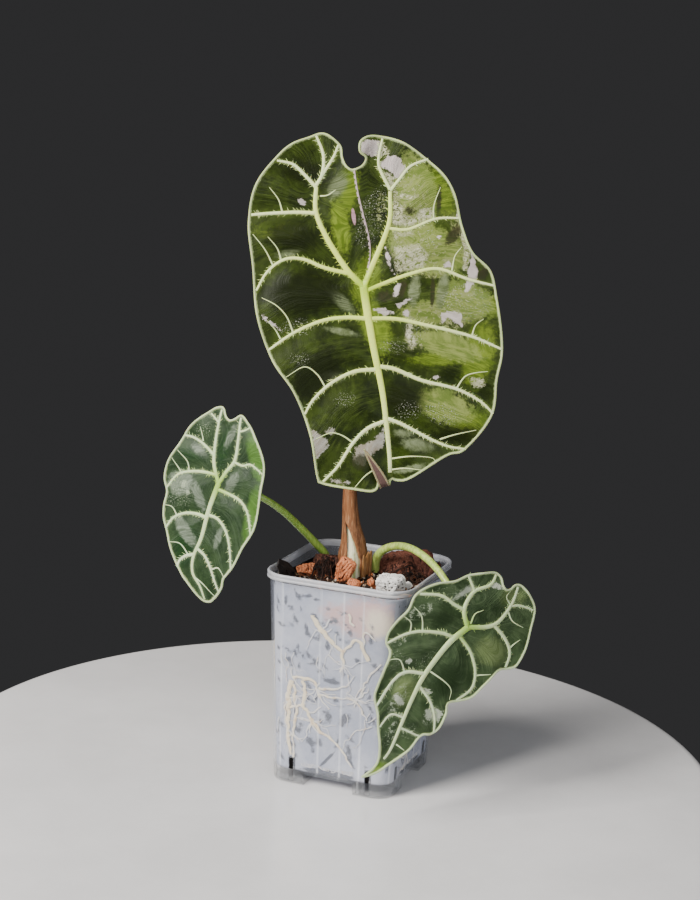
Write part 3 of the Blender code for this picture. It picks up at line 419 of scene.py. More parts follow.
# %% The main leaf's drawing
# The joint's place, the way the leaf faces and tilts in degrees, the radii of its bend, its swelling, its
# outline, and each vein's points with its width at start and end. This leaf also has a tip that folds
# forward, a raised bump, and a seam where its two lobes meet.
MAIN_LEAF = {
    "joint": (-2.3, -7.4, 236.8), "facing": 21, "tilt": 14,
    "bend_across": 600, "bend_along": 900, "bend_middle": -15, "pucker": 2.2, "pucker_reach": 8,
    "outline": [
        (-7.5, 54), (-10.5, 55.5), (-12.5, 59.5), (-14, 65.5), (-21.5, 70.5), (-28.5, 68.5),
        (-40, 62), (-51.5, 46), (-54.5, 28), (-51.5, 7.5), (-48.5, -15), (-40.5, -35.5),
        (-29.5, -50.5), (-21.5, -69), (-17.5, -87.5), (-14.5, -91), (0.5, -93), (8, -93.5),
        (10.8, -91.5), (11.2, -88.5), (13.2, -98.5), (16.3, -112), (17.2, -98.5), (16.4, -88),
        (19.5, -88), (25.5, -86.5), (41.5, -75.5), (50, -72), (61.5, -56), (63, -39.5),
        (65, -25), (61.5, -3), (58, 10), (49, 18.5), (44, 30), (39.5, 45.5),
        (31.5, 56.5), (15.5, 67.5), (2, 70.5), (-4.5, 67.5), (-5, 62), (-2, 59.5), (-3.5, 56)],
    "veins": [
        ([(0, 0), (2, -10.5), (6, -28.5), (10.5, -46.5), (13, -60.5), (15.3, -76), (16, -85)], 5, 2.2),
        ([(0, 0), (-8, 7.5), (-17.5, 21), (-23.5, 33.5), (-24, 46)], 3.6, 2.4),
        ([(-24, 46), (-21.5, 51.5), (-21.5, 60.5), (-25.5, 70)], 2.2, 1.4),
        ([(-22, 50), (-17, 59), (-14.5, 66)], 2, 1.2),
        ([(-24, 45), (-30.5, 51.5), (-35.5, 55.5), (-43.5, 57)], 2.2, 1.3),
        ([(-23.5, 33), (-33, 33), (-45.5, 32), (-54, 31)], 2.3, 1.7),
        ([(-6, 5.5), (-18.5, 8), (-28.5, 11.5), (-37, 11), (-44.5, 5), (-49.5, -4.5)], 2.5, 1.3),
        ([(2.5, -14.5), (-8, -14.5), (-18.5, -16.5), (-31, -22.5), (-43, -31.5)], 2.6, 1.4),
        ([(8, -37.5), (-2.5, -39), (-12.5, -44.5), (-20.5, -52.5), (-24.5, -60)], 2.5, 1.3),
        ([(13.5, -60.5), (5, -64.5), (-1.5, -71.5), (-8, -82.5), (-15, -90.5)], 2.4, 1.4),
        ([(0, 0), (3.5, 10), (8.5, 23.5), (10.5, 32.5), (10, 45.5)], 3.6, 2.2),
        ([(10, 45.5), (5.5, 53.5), (4, 59), (5.5, 70)], 2, 1.3),
        ([(10, 45), (14, 50.5), (19, 57), (27.5, 61)], 1.9, 1.3),
        ([(10, 27.5), (19, 27.5), (31.5, 33), (43.5, 34)], 2, 1.3),
        ([(1, -2), (8, 1.5), (21, 7), (33.5, 10), (47.5, 6), (60.5, 3.5)], 2.5, 1.4),
        ([(2.5, -14.5), (15, -14), (28.5, -16), (49.5, -20), (65, -25.5)], 2.5, 1.4),
        ([(8, -36), (16, -37), (28.5, -41.5), (44, -44.5), (55.5, -49.5), (62.5, -55.5)], 2.5, 1.3),
        ([(13, -59.5), (20.5, -62), (33.5, -68), (42, -71), (51, -72)], 2.2, 1.2)],
    "folded_tip": {"at": (13.8, -88.5), "toward": (0.32, -0.947), "radius": 1.9, "turn": 168, "reach": 2.9,
                   "widening": 0.35},
    "raised": (-3.5, 64.5, 3.5, 2.5),
    "seam": [(-7, 53.5), (-5, 43.5), (-2, 33), (1, 23), (2, 16), (1.5, 8), (0.5, 2)],
}

print("main leaf outline:", len(MAIN_LEAF["outline"]), "points")

# %% The left leaf's drawing
LEFT_LEAF = {
    "joint": (-62.1, -29.4, 140.7), "facing": -2, "tilt": 15,
    "bend_across": 260, "bend_along": 500, "bend_middle": 0, "pucker": 1.4, "pucker_reach": 5,
    "outline": [
        (1, 30.5), (-1.5, 32), (-3.5, 35.5), (-5.5, 36.3), (-9.5, 34.5), (-15.5, 29.5),
        (-21, 23.5), (-24.5, 15.5), (-28.5, 7.5), (-29.5, -1), (-27.3, -7.5), (-27.3, -14),
        (-26.5, -21), (-22, -30.5), (-16.5, -41), (-9.5, -48.5), (-3.5, -54.5), (0, -56),
        (4, -54.5), (8.5, -48), (9.5, -43.5), (13.5, -36.5), (18, -26), (21.5, -17.5),
        (22.5, -8), (22.3, 4), (21.5, 13), (17.5, 21), (10.5, 30), (6, 33.5), (3, 31.5)],
    "veins": [
        ([(0, 0), (-3, -12.5), (-5, -26), (-8, -35.5), (-7.5, -43), (-3, -49), (-0.5, -55.5)], 3.4, 1.2),
        ([(0, 0), (-4, 9.5), (-5, 19.5), (-5, 29.5), (-4.5, 35.5)], 2.5, 1.3),
        ([(-5, 28.5), (-10.5, 33)], 1.3, 1),
        ([(0, 0), (3, 6), (6.5, 12), (6.5, 21.5), (6, 29), (6, 33)], 2.4, 1.3),
        ([(-4.5, 13), (-11, 17.5), (-17, 20), (-22.5, 20.5)], 1.8, 1.3),
        ([(-2, 4), (-8, 4.5), (-15, 4), (-22.5, 1.5), (-28, -6)], 2.1, 1.2),
        ([(-4, -16.5), (-9, -15.5), (-15.5, -16), (-21.5, -19), (-25.5, -25)], 2.1, 1.3),
        ([(-8, -34.5), (-12.5, -36), (-15.5, -39), (-16, -42.5)], 2, 1.4),
        ([(6, 25.5), (9, 26.5), (12.5, 29)], 1.3, 1),
        ([(6.5, 11), (11, 10), (15, 11), (22, 7)], 1.6, 1),
        ([(-0.5, -2.5), (6, -4), (12.5, -6.5), (17, -12), (20, -22.5)], 2.1, 1),
        ([(-3, -15), (2.5, -16.5), (7.5, -22), (10.5, -30.5), (12, -39)], 1.9, 1),
        ([(-6.5, -31.5), (-1.5, -35), (2.5, -41.5), (7, -50.5)], 1.7, 1)],
    "tail_curl": (-44, 0.02),
}

print("left leaf outline:", len(LEFT_LEAF["outline"]), "points")

# %% The right leaf's drawing
RIGHT_LEAF = {
    "joint": (63.8, -29, 90.4), "facing": 45, "tilt": 8,
    "bend_across": 320, "bend_along": 520, "bend_middle": 0, "pucker": 1.4, "pucker_reach": 5.5,
    "outline": [
        (20, 16), (18.5, 18), (17.8, 21.5), (15, 24), (9.5, 24.5), (1.5, 24), (-6, 22),
        (-14.5, 21.5), (-21, 19.5), (-26, 16), (-29.5, 10.5), (-34.5, 6), (-38.5, 1),
        (-39.5, -4), (-38, -8.5), (-40.5, -15), (-43.5, -22.5), (-45, -28), (-43.5, -35.5),
        (-42.5, -48.5), (-42.3, -57), (-44.8, -61), (-50, -64.8), (-43, -63.5), (-36, -59.5),
        (-28, -54), (-22, -48.2), (-17.5, -48), (-13.5, -45.5), (-10.5, -39), (-9.5, -34.3),
        (-4, -33.7), (2.5, -32.5), (8.5, -27.5), (15.5, -21.7), (21, -21.3), (25.5, -20),
        (30, -13), (33, -3.5), (36, 5), (32.5, 12.5), (28.5, 17), (25, 17.5), (22.5, 16)],
    "veins": [
        ([(0, 0), (-9.5, -6.5), (-20.5, -19), (-26.5, -29.5), (-31.5, -41), (-36.5, -53), (-40, -58)],
         3.8, 1.4),
        ([(0, 0), (-1.5, 8.5), (3.5, 16), (12, 18.5), (15.5, 23.5)], 3, 1.6),
        ([(4, 16), (1.5, 22), (0.5, 24)], 1.8, 1.4), ([(0, 0), (13.5, 0), (22.5, 8), (27, 17)], 2.8, 1.6),
        ([(22.5, 8), (28, 7.5), (35.5, 4.5)], 1.5, 1.2),
        ([(13.5, 0), (19.5, -7), (22, -14), (19.5, -21)], 2.2, 1.6),
        ([(-1.5, 8), (-6.5, 11), (-13, 15.5), (-24, 17)], 2, 1.6),
        ([(-6, -4.5), (-13, -1.5), (-23.5, 0), (-31, -1), (-39.5, -4.5)], 2.1, 1.4),
        ([(-21, -19.5), (-30, -18), (-36.5, -22), (-44, -33)], 2.1, 1.4),
        ([(-30.5, -39), (-37, -37), (-42.5, -43)], 1.3, 1),
        ([(-4.5, -3), (1.5, -11.5), (4, -21), (2, -28.5), (-6, -33.5)], 2.1, 1.3),
        ([(-23.5, -25), (-18.5, -32), (-16, -39.5), (-16, -47.5)], 1.7, 1.2),
        ([(-32, -43.5), (-27.5, -46), (-22.5, -48.5)], 1.2, 0.9)],
}

print("right leaf outline:", len(RIGHT_LEAF["outline"]), "points")

# %% [markdown]
# ## From drawing to bent leaf
# A leaf isn't flat: it hangs from its joint, curls back at both sides, and swells between the veins, which
# hold it down like the buttons of a cushion. All of it is one height above the flat drawing, so the blade,
# the veins and the margin are drawn flat and then laid on the same bent surface. The tip of the main leaf is
# folded forward round a small radius, and shows its underside.

# %% Where a leaf faces, and where its tip folds
def leaf_axes(leaf):
    """Right, up and outward directions of a leaf's flat drawing."""
    facing = math.radians(leaf["facing"])
    tilt = math.radians(leaf["tilt"])
    out = Vector((math.sin(facing) * math.cos(tilt), -math.cos(facing) * math.cos(tilt), math.sin(tilt)))
    right = Vector((math.cos(facing), math.sin(facing), 0))
    return right, out.cross(right), out


def on_folded_tip(leaf, flat):
    """Which flat points lie past the tip's fold, and how far."""
    fold = leaf.get("folded_tip")
    if fold is None:
        return np.zeros(len(flat), dtype=bool), np.zeros(len(flat))
    toward = np.array(fold["toward"])
    rel = flat - np.array(fold["at"])
    past = rel @ toward
    across = rel @ np.array([-toward[1], toward[0]])
    return (past > 0) & (np.abs(across) < fold["reach"] + fold["widening"] * past), past


print("main leaf faces", [round(c, 2) for c in leaf_axes(MAIN_LEAF)[2]])

# %% The height of a leaf over its drawing
SEAM_STEP = 0.9
SEAM_REACH = 3.0


def leaf_relief(leaf, flat):
    """How far each flat point stands out: bent as a whole, and puckered between the veins."""
    x, y = flat[:, 0], flat[:, 1]
    middle = leaf["bend_middle"]
    height = -x ** 2 / (2 * leaf["bend_across"])
    height += (middle ** 2 - (y - middle) ** 2) / (2 * leaf["bend_along"])
    lines = [smooth_line(points, 2.5) for points, _, _ in leaf["veins"]]
    away = line_distance(flat, lines) / leaf["pucker_reach"]
    height += leaf["pucker"] * (1 - np.exp(-away ** 2))
    if "raised" in leaf:
        bump_x, bump_y, reach, rise = leaf["raised"]
        height += rise * np.exp(-((x - bump_x) ** 2 + (y - bump_y) ** 2) / (2 * reach ** 2))
    if "tail_curl" in leaf:
        start, strength = leaf["tail_curl"]
        height -= strength * np.clip(start - y, 0, None) ** 2
    if "seam" in leaf:
        seam = smooth_line(leaf["seam"], 2.0)
        gap = line_distance(flat, [seam])
        left_of_seam = x < np.interp(y, seam[::-1, 1], seam[::-1, 0])
        height -= SEAM_STEP * left_of_seam * np.exp(-gap / SEAM_REACH)
    return height


print("the left lobe dips by", SEAM_STEP, "mm along the seam")

# %% Laying drawn points on a leaf
def lay_on_leaf(leaf, flat, lift):
    """Places of points drawn on a leaf, each lifted off its face by some millimetres."""
    flat = np.array(flat, dtype=float)
    right, up, out = (np.array(axis) for axis in leaf_axes(leaf))
    height = leaf_relief(leaf, flat)
    folded, past = on_folded_tip(leaf, flat)
    shift = np.zeros((len(flat), 2))
    rise = np.array(lift, dtype=float)
    if folded.any():
        fold = leaf["folded_tip"]
        angle = np.clip(past / fold["radius"], 0, math.radians(fold["turn"]))
        rest = past - angle * fold["radius"]
        along = fold["radius"] * np.sin(angle) + rest * np.cos(angle) - past - rise * np.sin(angle)
        over = fold["radius"] * (1 - np.cos(angle)) + rest * np.sin(angle) + rise * np.cos(angle)
        shift[folded] = along[folded, None] * np.array(fold["toward"])
        rise[folded] = over[folded]
    drawn = flat + shift
    places = np.array(leaf["joint"]) + drawn[:, :1] * right + drawn[:, 1:] * up
    return world(places + (height + rise)[:, None] * out)


print("main joint at", lay_on_leaf(MAIN_LEAF, [(0, 0)], [0])[0].round(4))

# %% [markdown]
# ## The blades
# A blade is a thin sheet, about half a millimetre of living tissue. The drawing is filled with an even net
# of triangles a millimetre or so across, fine enough for the swellings, and for each point to know how far
# it lies from a vein, from the edge and from each marking.

# %% Filling a drawing with triangles
BLADE_THICK = 0.45
# Share of a cell between the rows of a net of even triangles, and how clear of the edge its points stay.
ROW_SPACING = 0.866
EDGE_CLEARANCE = 0.45


def inside(points, loop):
    """Which flat points lie inside a closed loop of points."""
    x, y = points[:, 0], points[:, 1]
    crossed = np.zeros(len(points), dtype=bool)
    for (ax, ay), (bx, by) in zip(loop, np.roll(loop, -1, axis=0)):
        spans = (ay > y) != (by > y)
        if spans.any():
            crossed ^= spans & (x < (bx - ax) * (y - ay) / (by - ay + 1e-12) + ax)
    return crossed


def drawn_outline(leaf, step):
    """The leaf's outline as closely set points, anticlockwise."""
    outline = smooth_line(leaf["outline"], step, closed=True)
    following = np.roll(outline, -1, axis=0)
    area = (outline[:, 0] * following[:, 1] - outline[:, 1] * following[:, 0]).sum()
    return outline if area > 0 else outline[::-1]


def fill_drawing(leaf, cell):
    """Flat points and triangles that fill a leaf's outline."""
    outline = drawn_outline(leaf, cell)
    low, high = outline.min(axis=0), outline.max(axis=0)
    grid = []
    for row, y in enumerate(np.arange(low[1], high[1], cell * ROW_SPACING)):
        grid += [(x, y) for x in np.arange(low[0] + row % 2 * cell / 2, high[0], cell)]
    grid = np.array(grid)
    grid = grid[inside(grid, outline)]
    grid = grid[line_distance(grid, [closed_loop(outline)]) > cell * EDGE_CLEARANCE]
    points = [Vector(p) for p in np.vstack([outline, grid])]
    flat, _, triangles, *_ = delaunay_2d_cdt(points, [], [list(range(len(outline)))], 1, 0.01)
    return np.array([(v.x, v.y) for v in flat]), [tuple(t) for t in triangles]


def rim_edges(triangles):
    """The edges that only one triangle uses, each in its triangle's own direction."""
    seen = {pair: True for t in triangles for pair in zip(t, t[1:] + t[:1])}
    return [(a, b) for a, b in seen if (b, a) not in seen]


test_flat, test_triangles = fill_drawing(LEFT_LEAF, 4.0)
print("left leaf, coarse:", len(test_flat), "points,", len(rim_edges(test_triangles)), "rim edges")

# %% [markdown]
# ## The markings
# This plant is variegated: patches of the green have lost their pigment and show lilac white or grey green.
# Their shapes follow no rule, so they are set one by one on the flat leaf. Soft zones of tone are ovals, and
# crisp patches are rough outlines whose edges a noise breaks up. Every point of the blade stores its
# distance to the nearest shape of each kind, below zero inside, and the shader turns that into paint.

# %% Markings of the main leaf
# Each kind: two colours mixed by noise, softness and raggedness of its edge, what breaks it up inside, if
# anything, and its shapes. An oval is its middle, two half widths and a turn; a list is an outline.
MAIN_MARKS = {
    "bright": (("#4d6117", "#71842a"), 3, 4, None, [
        (1, 4, 12, 6, 75), (6, -18, 13, 6, -70), (33, 45, 11, 5, -60), (-9, 44, 11, 4, 85),
        (54, -28, 14, 7, 80), (38, -31, 14, 3, 5), (56, -6, 7, 5, 0), (-40, 24, 10, 4, 0),
        (52, -60, 9, 6, 0), (-12, 28, 13, 4, 100)]),
    "olive": (("#5f7130", "#848f4c"), 2, 4, None, [
        (22, 46, 18, 9, 105), (28, 19, 19, 11, -20), (46, -4, 14, 9, -10), (30, -10, 13, 5, 0),
        (40, -25, 16, 6, -15), (40, -53, 13, 7, -15)]),
    "mottled": (("#9a9d70", "#7f8654"), 1, 3, "torn", [
        (20, 40, 19, 9, 100), (26, 15, 16, 10, -15), (34, -12, 16, 6, -5), (24, -24, 6, 5, 0),
        (44, 26, 12, 5, -70), (46, -1, 8, 5, 0), (6, 36, 9, 2.5, 90)]),
    "grey_green": (("#c6c4a6", "#969870"), 0.3, 3, "islands", [
        [(5, 68), (9, 63), (8, 60), (5, 61)], [(6, 54), (12, 52), (13, 49), (12, 46), (9, 47)],
        [(11, 45), (19, 43), (23, 43), (21, 41), (12, 42)],
        [(11, 42), (17, 37), (16, 34), (22, 33), (24, 37), (30, 38), (30, 33), (25, 29), (11, 29)],
        [(12, 27), (20, 27), (22, 25), (16, 24), (13, 22)],
        [(13, 19), (24, 21), (29, 16), (27, 10), (15, 7), (13, 11), (14, 14)],
        [(42, 33), (46, 23), (48, 20), (47.5, 10), (45, 10), (45, 20), (42, 28)],
        [(21, -12), (24, -14), (23, -20), (26, -24), (23, -28), (20, -22)],
        [(50, -39), (57, -39.5), (57.5, -43), (52, -43.5)]]),
    # Painted sheen: pale ovals where folds of the blade catch the light.
    "painted_sheen": (("#505a38", "#788260"), 1.8, 2, None, [
        (23, -1, 7, 2.5, 85), (36, 0, 8, 2.5, 80), (-10, -7, 7, 2.5, -40), (-9, -21, 7, 1.5, -10),
        (-13, -42, 5, 2.5, 0), (-14, 46, 6, 3.5, 60), (28, -71, 7, 2.8, -5),
        (21, -66, 4, 1.5, 0), (-35, 14, 5, 1.5, 15), (25, -82, 7, 1.5, 15)]),
    "lilac": (("#c9bfb9", "#b7aba6"), 0.2, 1.2, None, [
        [(-5, 66), (-1, 68), (5, 67.5), (5, 61), (1.5, 60.5), (-4, 61.5)],
        [(9, 61.5), (14, 60.5), (17, 54.5), (14, 50), (9.5, 54), (4.5, 56.5), (6, 59)],
        [(41, 33.5), (41.5, 39), (43, 35)],
        [(48.5, 18.5), (52, 10), (51.5, 5.5), (48, 1), (46, -2), (47.5, 7), (47.8, 12)],
        [(36, 11), (38, 14.5), (40.5, 11)], [(8.5, 19), (11.5, 14), (12, 9), (14, 6), (10, 12)],
        [(13, -4), (15, 2.5), (17, 2), (15.5, -4)], [(15, -7.5), (18, -6), (22.5, -4), (16.5, -9)],
        [(5, -10), (9, -9.5), (14, -11), (10, -13)],
        [(35.5, -10.5), (41.5, -9.5), (45, -10), (46, -16), (39, -12), (36.5, -15.5)],
        (35, -39.7, 1.5, 0.8, 0), (-30.3, 37.8, 2, 1.3, -30), (20, -11, 1.5, 1.3, 0),
        (33.5, 24.5, 1, 0.8, 0), [(-46, -14.5), (-42, -17.5), (-37, -22), (-41, -19.5), (-45, -17)]]),
    "ash": (("#a2a096", "#8b8273"), 0.3, 1.6, None, [
        [(0, -73), (8, -70), (12, -64.5), (12.5, -72.5), (7, -76.5), (4, -81.5), (-1, -79.5)],
        [(-21, -66), (-16, -69), (-12.5, -72), (-15, -76), (-19, -80)], (-12, -66.5, 2, 1.5, 0),
        [(-13, -88), (-8, -89), (-2.5, -89.5), (-6, -91)]]),
    "pink": (("#b9929c", "#a77f86"), 0.3, 0.5, None, [(-6.2, 32, 4, 0.9, 100)]),
    "deep": (("#262c15", "#33301f"), 1.2, 2, None, [
        (32.5, 42, 6, 1.2, 90), (19.5, 36, 2.4, 1.6, 0), (40, 26, 6, 2.5, 60), (55, 9.5, 4.5, 2, 50),
        (18, 0, 4.5, 1.4, 80), (10, -4, 4, 2.4, 10), (31.5, -1, 8.5, 1, 90), (3, -80, 4.5, 3.5, 0)]),
    "night": (("#191f09", "#131806"), 5, 3, None, [
        (20, -50, 10, 7, 0), (45, -66, 13, 4, 10), (-28, -4, 19, 10, 10), (-34, 22, 14, 7, -10),
        (-20, -42, 15, 9, 50), (-30, 52, 12, 6, -20)]),
    "speckled": (("#d8d4cf", "#b9bda2"), 1.5, 2, "fine", [
        (-6, -52, 5, 3.5, 0), (15, -26.5, 7, 3.5, 0), (29, 24, 5, 3, 90), (-28, -34.5, 4.5, 3, 0),
        (23, -55.5, 6, 4.5, 0), (2, 32, 15, 6, 75), (47, -5, 12, 9, 0), (25, -18, 6, 5, 0),
        (38, -56, 9, 5, -10), (-30, -20, 9, 4, 10)]),
}
print("main leaf markings:", sum(len(kind[4]) for kind in MAIN_MARKS.values()), "shapes")

# %% Markings of the two side leaves
LEFT_MARKS = {
    "bright": (("#46662a", "#557838"), 3, 2, None, [(18, 14, 12, 4, 115), (19, -12, 13, 3, 85)]),
    "night": (("#1e3320", "#26401f"), 3.5, 1.5, None, [
        (-13, -31, 9, 5, 80), (0, 16, 9, 3, 85), (-17, 12, 7, 3, -5)]),
    # Painted sheen: pale ovals where folds of the blade catch the light.
    "painted_sheen": (("#54604e", "#7c8775"), 1.4, 1.8, None, [
        (-9, -7, 7, 2.4, -60), (-14, -24, 9, 3, -45), (7, 2, 5, 2.5, 65), (2.5, 23, 6, 1.6, 75),
        (-13, 15, 4, 2, -25), (-20, -2, 7, 6, 0), (4, -25, 5, 1.6, 80)]),
    "grey_green": (("#9aa58a", "#7f8c74"), 0.5, 1.4, None, [(-18, -2.5, 1.8, 1.5, 0), (-15, -6, 1.2, 1, 0)]),
    "speckled": (("#c9d0bb", "#a9b394"), 1.2, 1.5, "fine", [(-19, -7, 8, 7, 0), (-12, 24, 5, 4, 40)]),
}
RIGHT_MARKS = {
    "olive": (("#5d6d40", "#6f7e52"), 3, 2, None, [
        (12, -12, 8, 6, -30), (-31, -26, 7, 5, 80), (24, 12, 6, 4, 0)]),
    "night": (("#27361f", "#1f2d18"), 3, 1.5, None, [
        (-12, 5, 6, 4, 15), (-11, -23, 9, 6, 60), (5, 8, 4, 3, 0)]),
    "mottled": (("#a3ac94", "#87937a"), 0.8, 3, "torn", [
        (-2, 16, 8, 2.5, 20), (-34, -30, 9, 3.5, 60), (-18, -39, 6, 4, 40), (-36, -46, 8, 3, 85),
        (-33, -3, 6, 3, 20), (-24, 9, 9, 3, 20)]),
    "grey_green": (("#b4bba6", "#a3aa97"), 0.3, 1.8, None, [
        [(-8, 13), (-2, 17.5), (2, 19), (3.5, 17), (-2, 15)], (14.5, 18, 3.5, 1.2, -20),
        (-20, -27.8, 2, 1.4, 0), [(-21, -36), (-15, -36), (-12, -38), (-14, -42), (-20, -40)],
        (-29, -13, 1.2, 1.2, 0), (-33.5, -30.5, 3, 1.5, -50)]),
    "bright": (("#5c7a2c", "#8aa348"), 2, 1.5, None, [(-46, -62, 7, 2.5, 20)]),
    "speckled": (("#c4cbb4", "#a2ad90"), 1.5, 2, "fine", [
        (-36, -12, 6, 5, 0), (-38, -48, 5, 3, 90), (-28, -46, 4, 4, 0), (-9, 16, 10, 4, 0),
        (-20, -14, 8, 4, 30)]),
}
print("side leaf markings:", len(LEFT_MARKS), "and", len(RIGHT_MARKS), "kinds")

# %% [markdown]
# Besides the markings, each point of a blade knows three things of the veins. `vein_gap` is how far the
# nearest one is, and `edge_gap` how far the margin is. `flow` counts the side veins from the tip up,
# smoothly from one to the next, so a pattern drawn on it runs along them, as the leaf's finest veins do.

# %% What each point of a blade knows
FAR_OFF = 12.0


def oval_distance(flat, oval):
    """About how far each point lies outside an oval."""
    x, y, long, wide, turn = oval
    along = np.array((math.cos(math.radians(turn)), math.sin(math.radians(turn))))
    rel = flat - (x, y)
    return (np.hypot(rel @ along / long, rel @ (-along[1], along[0]) / wide) - 1) * (long + wide) / 2


def marked_distance(flat, shapes):
    """Distance to the nearest of some ovals and closed loops, below zero inside one."""
    nearest = np.full(len(flat), FAR_OFF)
    for shape in shapes:
        if isinstance(shape, tuple):
            gap = oval_distance(flat, shape)
        else:
            loop = np.array(shape, dtype=float)
            gap = line_distance(flat, [closed_loop(loop)])
            gap[inside(flat, loop)] *= -1
        nearest = np.minimum(nearest, gap)
    return nearest


def side_vein_flow(leaf, flat):
    """Side veins counted up each side of the midrib, blended by how near each point is to them."""
    midrib = smooth_line(leaf["veins"][0][0], 3.0)
    order = midrib[:, 1].argsort()

    def right_of_midrib(x, y):
        return x > np.interp(y, midrib[order, 1], midrib[order, 0])

    flow = np.zeros(len(flat))
    for is_right in (False, True):
        lines = [smooth_line(knots, 3.0) for knots, _, _ in leaf["veins"][1:]
                 if right_of_midrib(*np.mean(knots, axis=0)) == is_right]
        lines.sort(key=lambda line: line[-1][1])
        gaps = np.array([line_distance(flat, [line]) + 0.3 for line in lines]) ** -3.0
        blended = (gaps * np.arange(len(lines))[:, None]).sum(axis=0) / gaps.sum(axis=0)
        chosen = right_of_midrib(flat[:, 0], flat[:, 1]) == is_right
        flow[chosen] = blended[chosen]
    return flow


def blade_values(leaf, marks, flat):
    """Every number that a blade's material reads."""
    lines = [smooth_line(knots, 2.5) for knots, _, _ in leaf["veins"]]
    values = {"vein_gap": line_distance(flat, lines),
              "edge_gap": line_distance(flat, [closed_loop(drawn_outline(leaf, 1.5))]),
              "flow": side_vein_flow(leaf, flat), "midrib_gap": line_distance(flat, lines[:1])}
    return values | {kind: marked_distance(flat, mark[-1]) for kind, mark in marks.items()}


joint_values = blade_values(MAIN_LEAF, MAIN_MARKS, np.zeros((1, 2)))
print("values at the main joint:", {kind: round(float(v[0]), 1) for kind, v in joint_values.items()})

# %% [markdown]
# ### The leaf's face
# The face of such a leaf is waxy and nearly black green, over a velvety net of fine cells. Its gloss is that
# of a thin clear wax, so the shader has a light coat. The paint goes on in the order of the markings: broad
# soft tones first, then the ragged patches, then fine white specks.

# %% Leaf face material
STREAK_WIDTH = 1.3
WRINKLE_WIDTH = 5.0
SIDE_VEIN_SPACING = 22.0
STREAK_STRETCH = 0.16
CELL_SIZE = 0.35
# How far noise shakes a marking's edge, how well its paint covers, and where noise breaks up its inside.
EDGE_SHAKE = 7.0
PAINT_COVER = 0.92
BREAK_STARTS = {"fine": 0.59, "torn": 0.515, "islands": 0.46}


def flow_noise(tree, width):
    """Noise in streaks along the side veins, of some width in millimetres."""
    across = add(tree, "Math MULTIPLY", [value_of(tree, "flow"), SIDE_VEIN_SPACING / width])
    along = add(tree, "Math MULTIPLY", [value_of(tree, "midrib_gap"), STREAK_STRETCH / width])
    stream = add(tree, "CombineXYZ", [across, along])
    return grain_noises(tree, 1, 1, in_mm=stream)[0]


def leaf_face(name, tones, marks):
    """Waxy leaf skin; tones are its dark, middle and light green between the markings."""
    material, tree = new_material(name, IOR=1.42, Coat_Weight=0.04, Coat_Roughness=0.3, Coat_IOR=1.4,
                                  Specular_IOR_Level=0.08)
    drawn = value_of(tree, "drawn", "Vector")
    cloud, torn, fine = grain_noises(tree, 1, 0.11, 0.45, 1.7, in_mm=drawn)
    streak, wrinkle = flow_noise(tree, STREAK_WIDTH), flow_noise(tree, WRINKLE_WIDTH)
    rip = add(tree, "Mix", {0: 0.3, 2: torn, 3: streak}, data_type="FLOAT")
    rip = add(tree, "Mix", {0: 0.3, 2: rip, 3: fine}, data_type="FLOAT")
    # Streaks and wrinkles along the side veins are lightened: partly the leaf's own streaky green, partly a
    # painted sheen on the crests that the same noises raise in the bump.
    paint = lay_colours(tree, tones[0], (cloud, 0.38, 0.66, 1, tones[1]),
                        (streak, 0.5, 0.72, 0.35, tones[2]), (wrinkle, 0.45, 0.62, 0.18, tones[2]),
                        (fine, 0.6, 0.7, 0.4, tones[2]))

    for kind, (colours, soft, ragged, broken_by, _) in marks.items():
        shake = EDGE_SHAKE * ragged
        edge = add(tree, "Math MULTIPLY_ADD", [rip, shake, value_of(tree, kind)])
        amount = PAINT_COVER
        if broken_by:
            start = BREAK_STARTS[broken_by]
            amount = add(tree, "MapRange", [fine if broken_by == "fine" else rip, start, start + 0.03])
        tint = lay_colours(tree, colours[0], (streak, 0.4, 0.6, 1, colours[1]),
                           (fine, 0.58, 0.7, 0.35, tones[1]))
        paint = lay_colours(tree, paint, (edge, shake / 2 + soft, shake / 2 - soft, amount, tint))

    # The green pales at the margin, and beside the veins, partly where their white runs out into it and
    # partly as a painted sheen on the slopes down to them.
    halo = add(tree, "Math MULTIPLY_ADD", [torn, 1.8, value_of(tree, "edge_gap")])
    by_vein = add(tree, "Math MULTIPLY_ADD", [streak, 3, value_of(tree, "vein_gap")])
    paint = lay_colours(tree, paint, (by_vein, 3.2, 2.2, 0.4, tones[2]), (halo, 2.3, 1.5, 0.7, "#a9b982"))
    cells = add(tree, "TexVoronoi", {"Vector": drawn, "Scale": 1 / CELL_SIZE}, feature="DISTANCE_TO_EDGE")
    grain = add(tree, "Math MULTIPLY_ADD", [streak, 1.2, cells])
    grain = add(tree, "Math MULTIPLY_ADD", [wrinkle, 22, grain])
    return finish(material, paint, fine, 0.28, 0.46, 0.5, 0.07, grain)


main_face = leaf_face("waxy_dark_leaf", ("#1b230a", "#2f3c10", "#5a6a2c"), MAIN_MARKS)
left_face = leaf_face("waxy_bluish_leaf", ("#243420", "#35472c", "#5f6f58"), LEFT_MARKS)
right_face = leaf_face("waxy_young_leaf", ("#2c3b24", "#405133", "#6b7a5a"), RIGHT_MARKS)
print("leaf faces:", main_face.name, left_face.name, right_face.name)

# %% [markdown]
# ### The leaf's underside
# Underneath, the leaf is dull: a matt purple brown on the grown leaf, and a grey green on the young ones. It
# shows where the tip folds forward, and from behind.

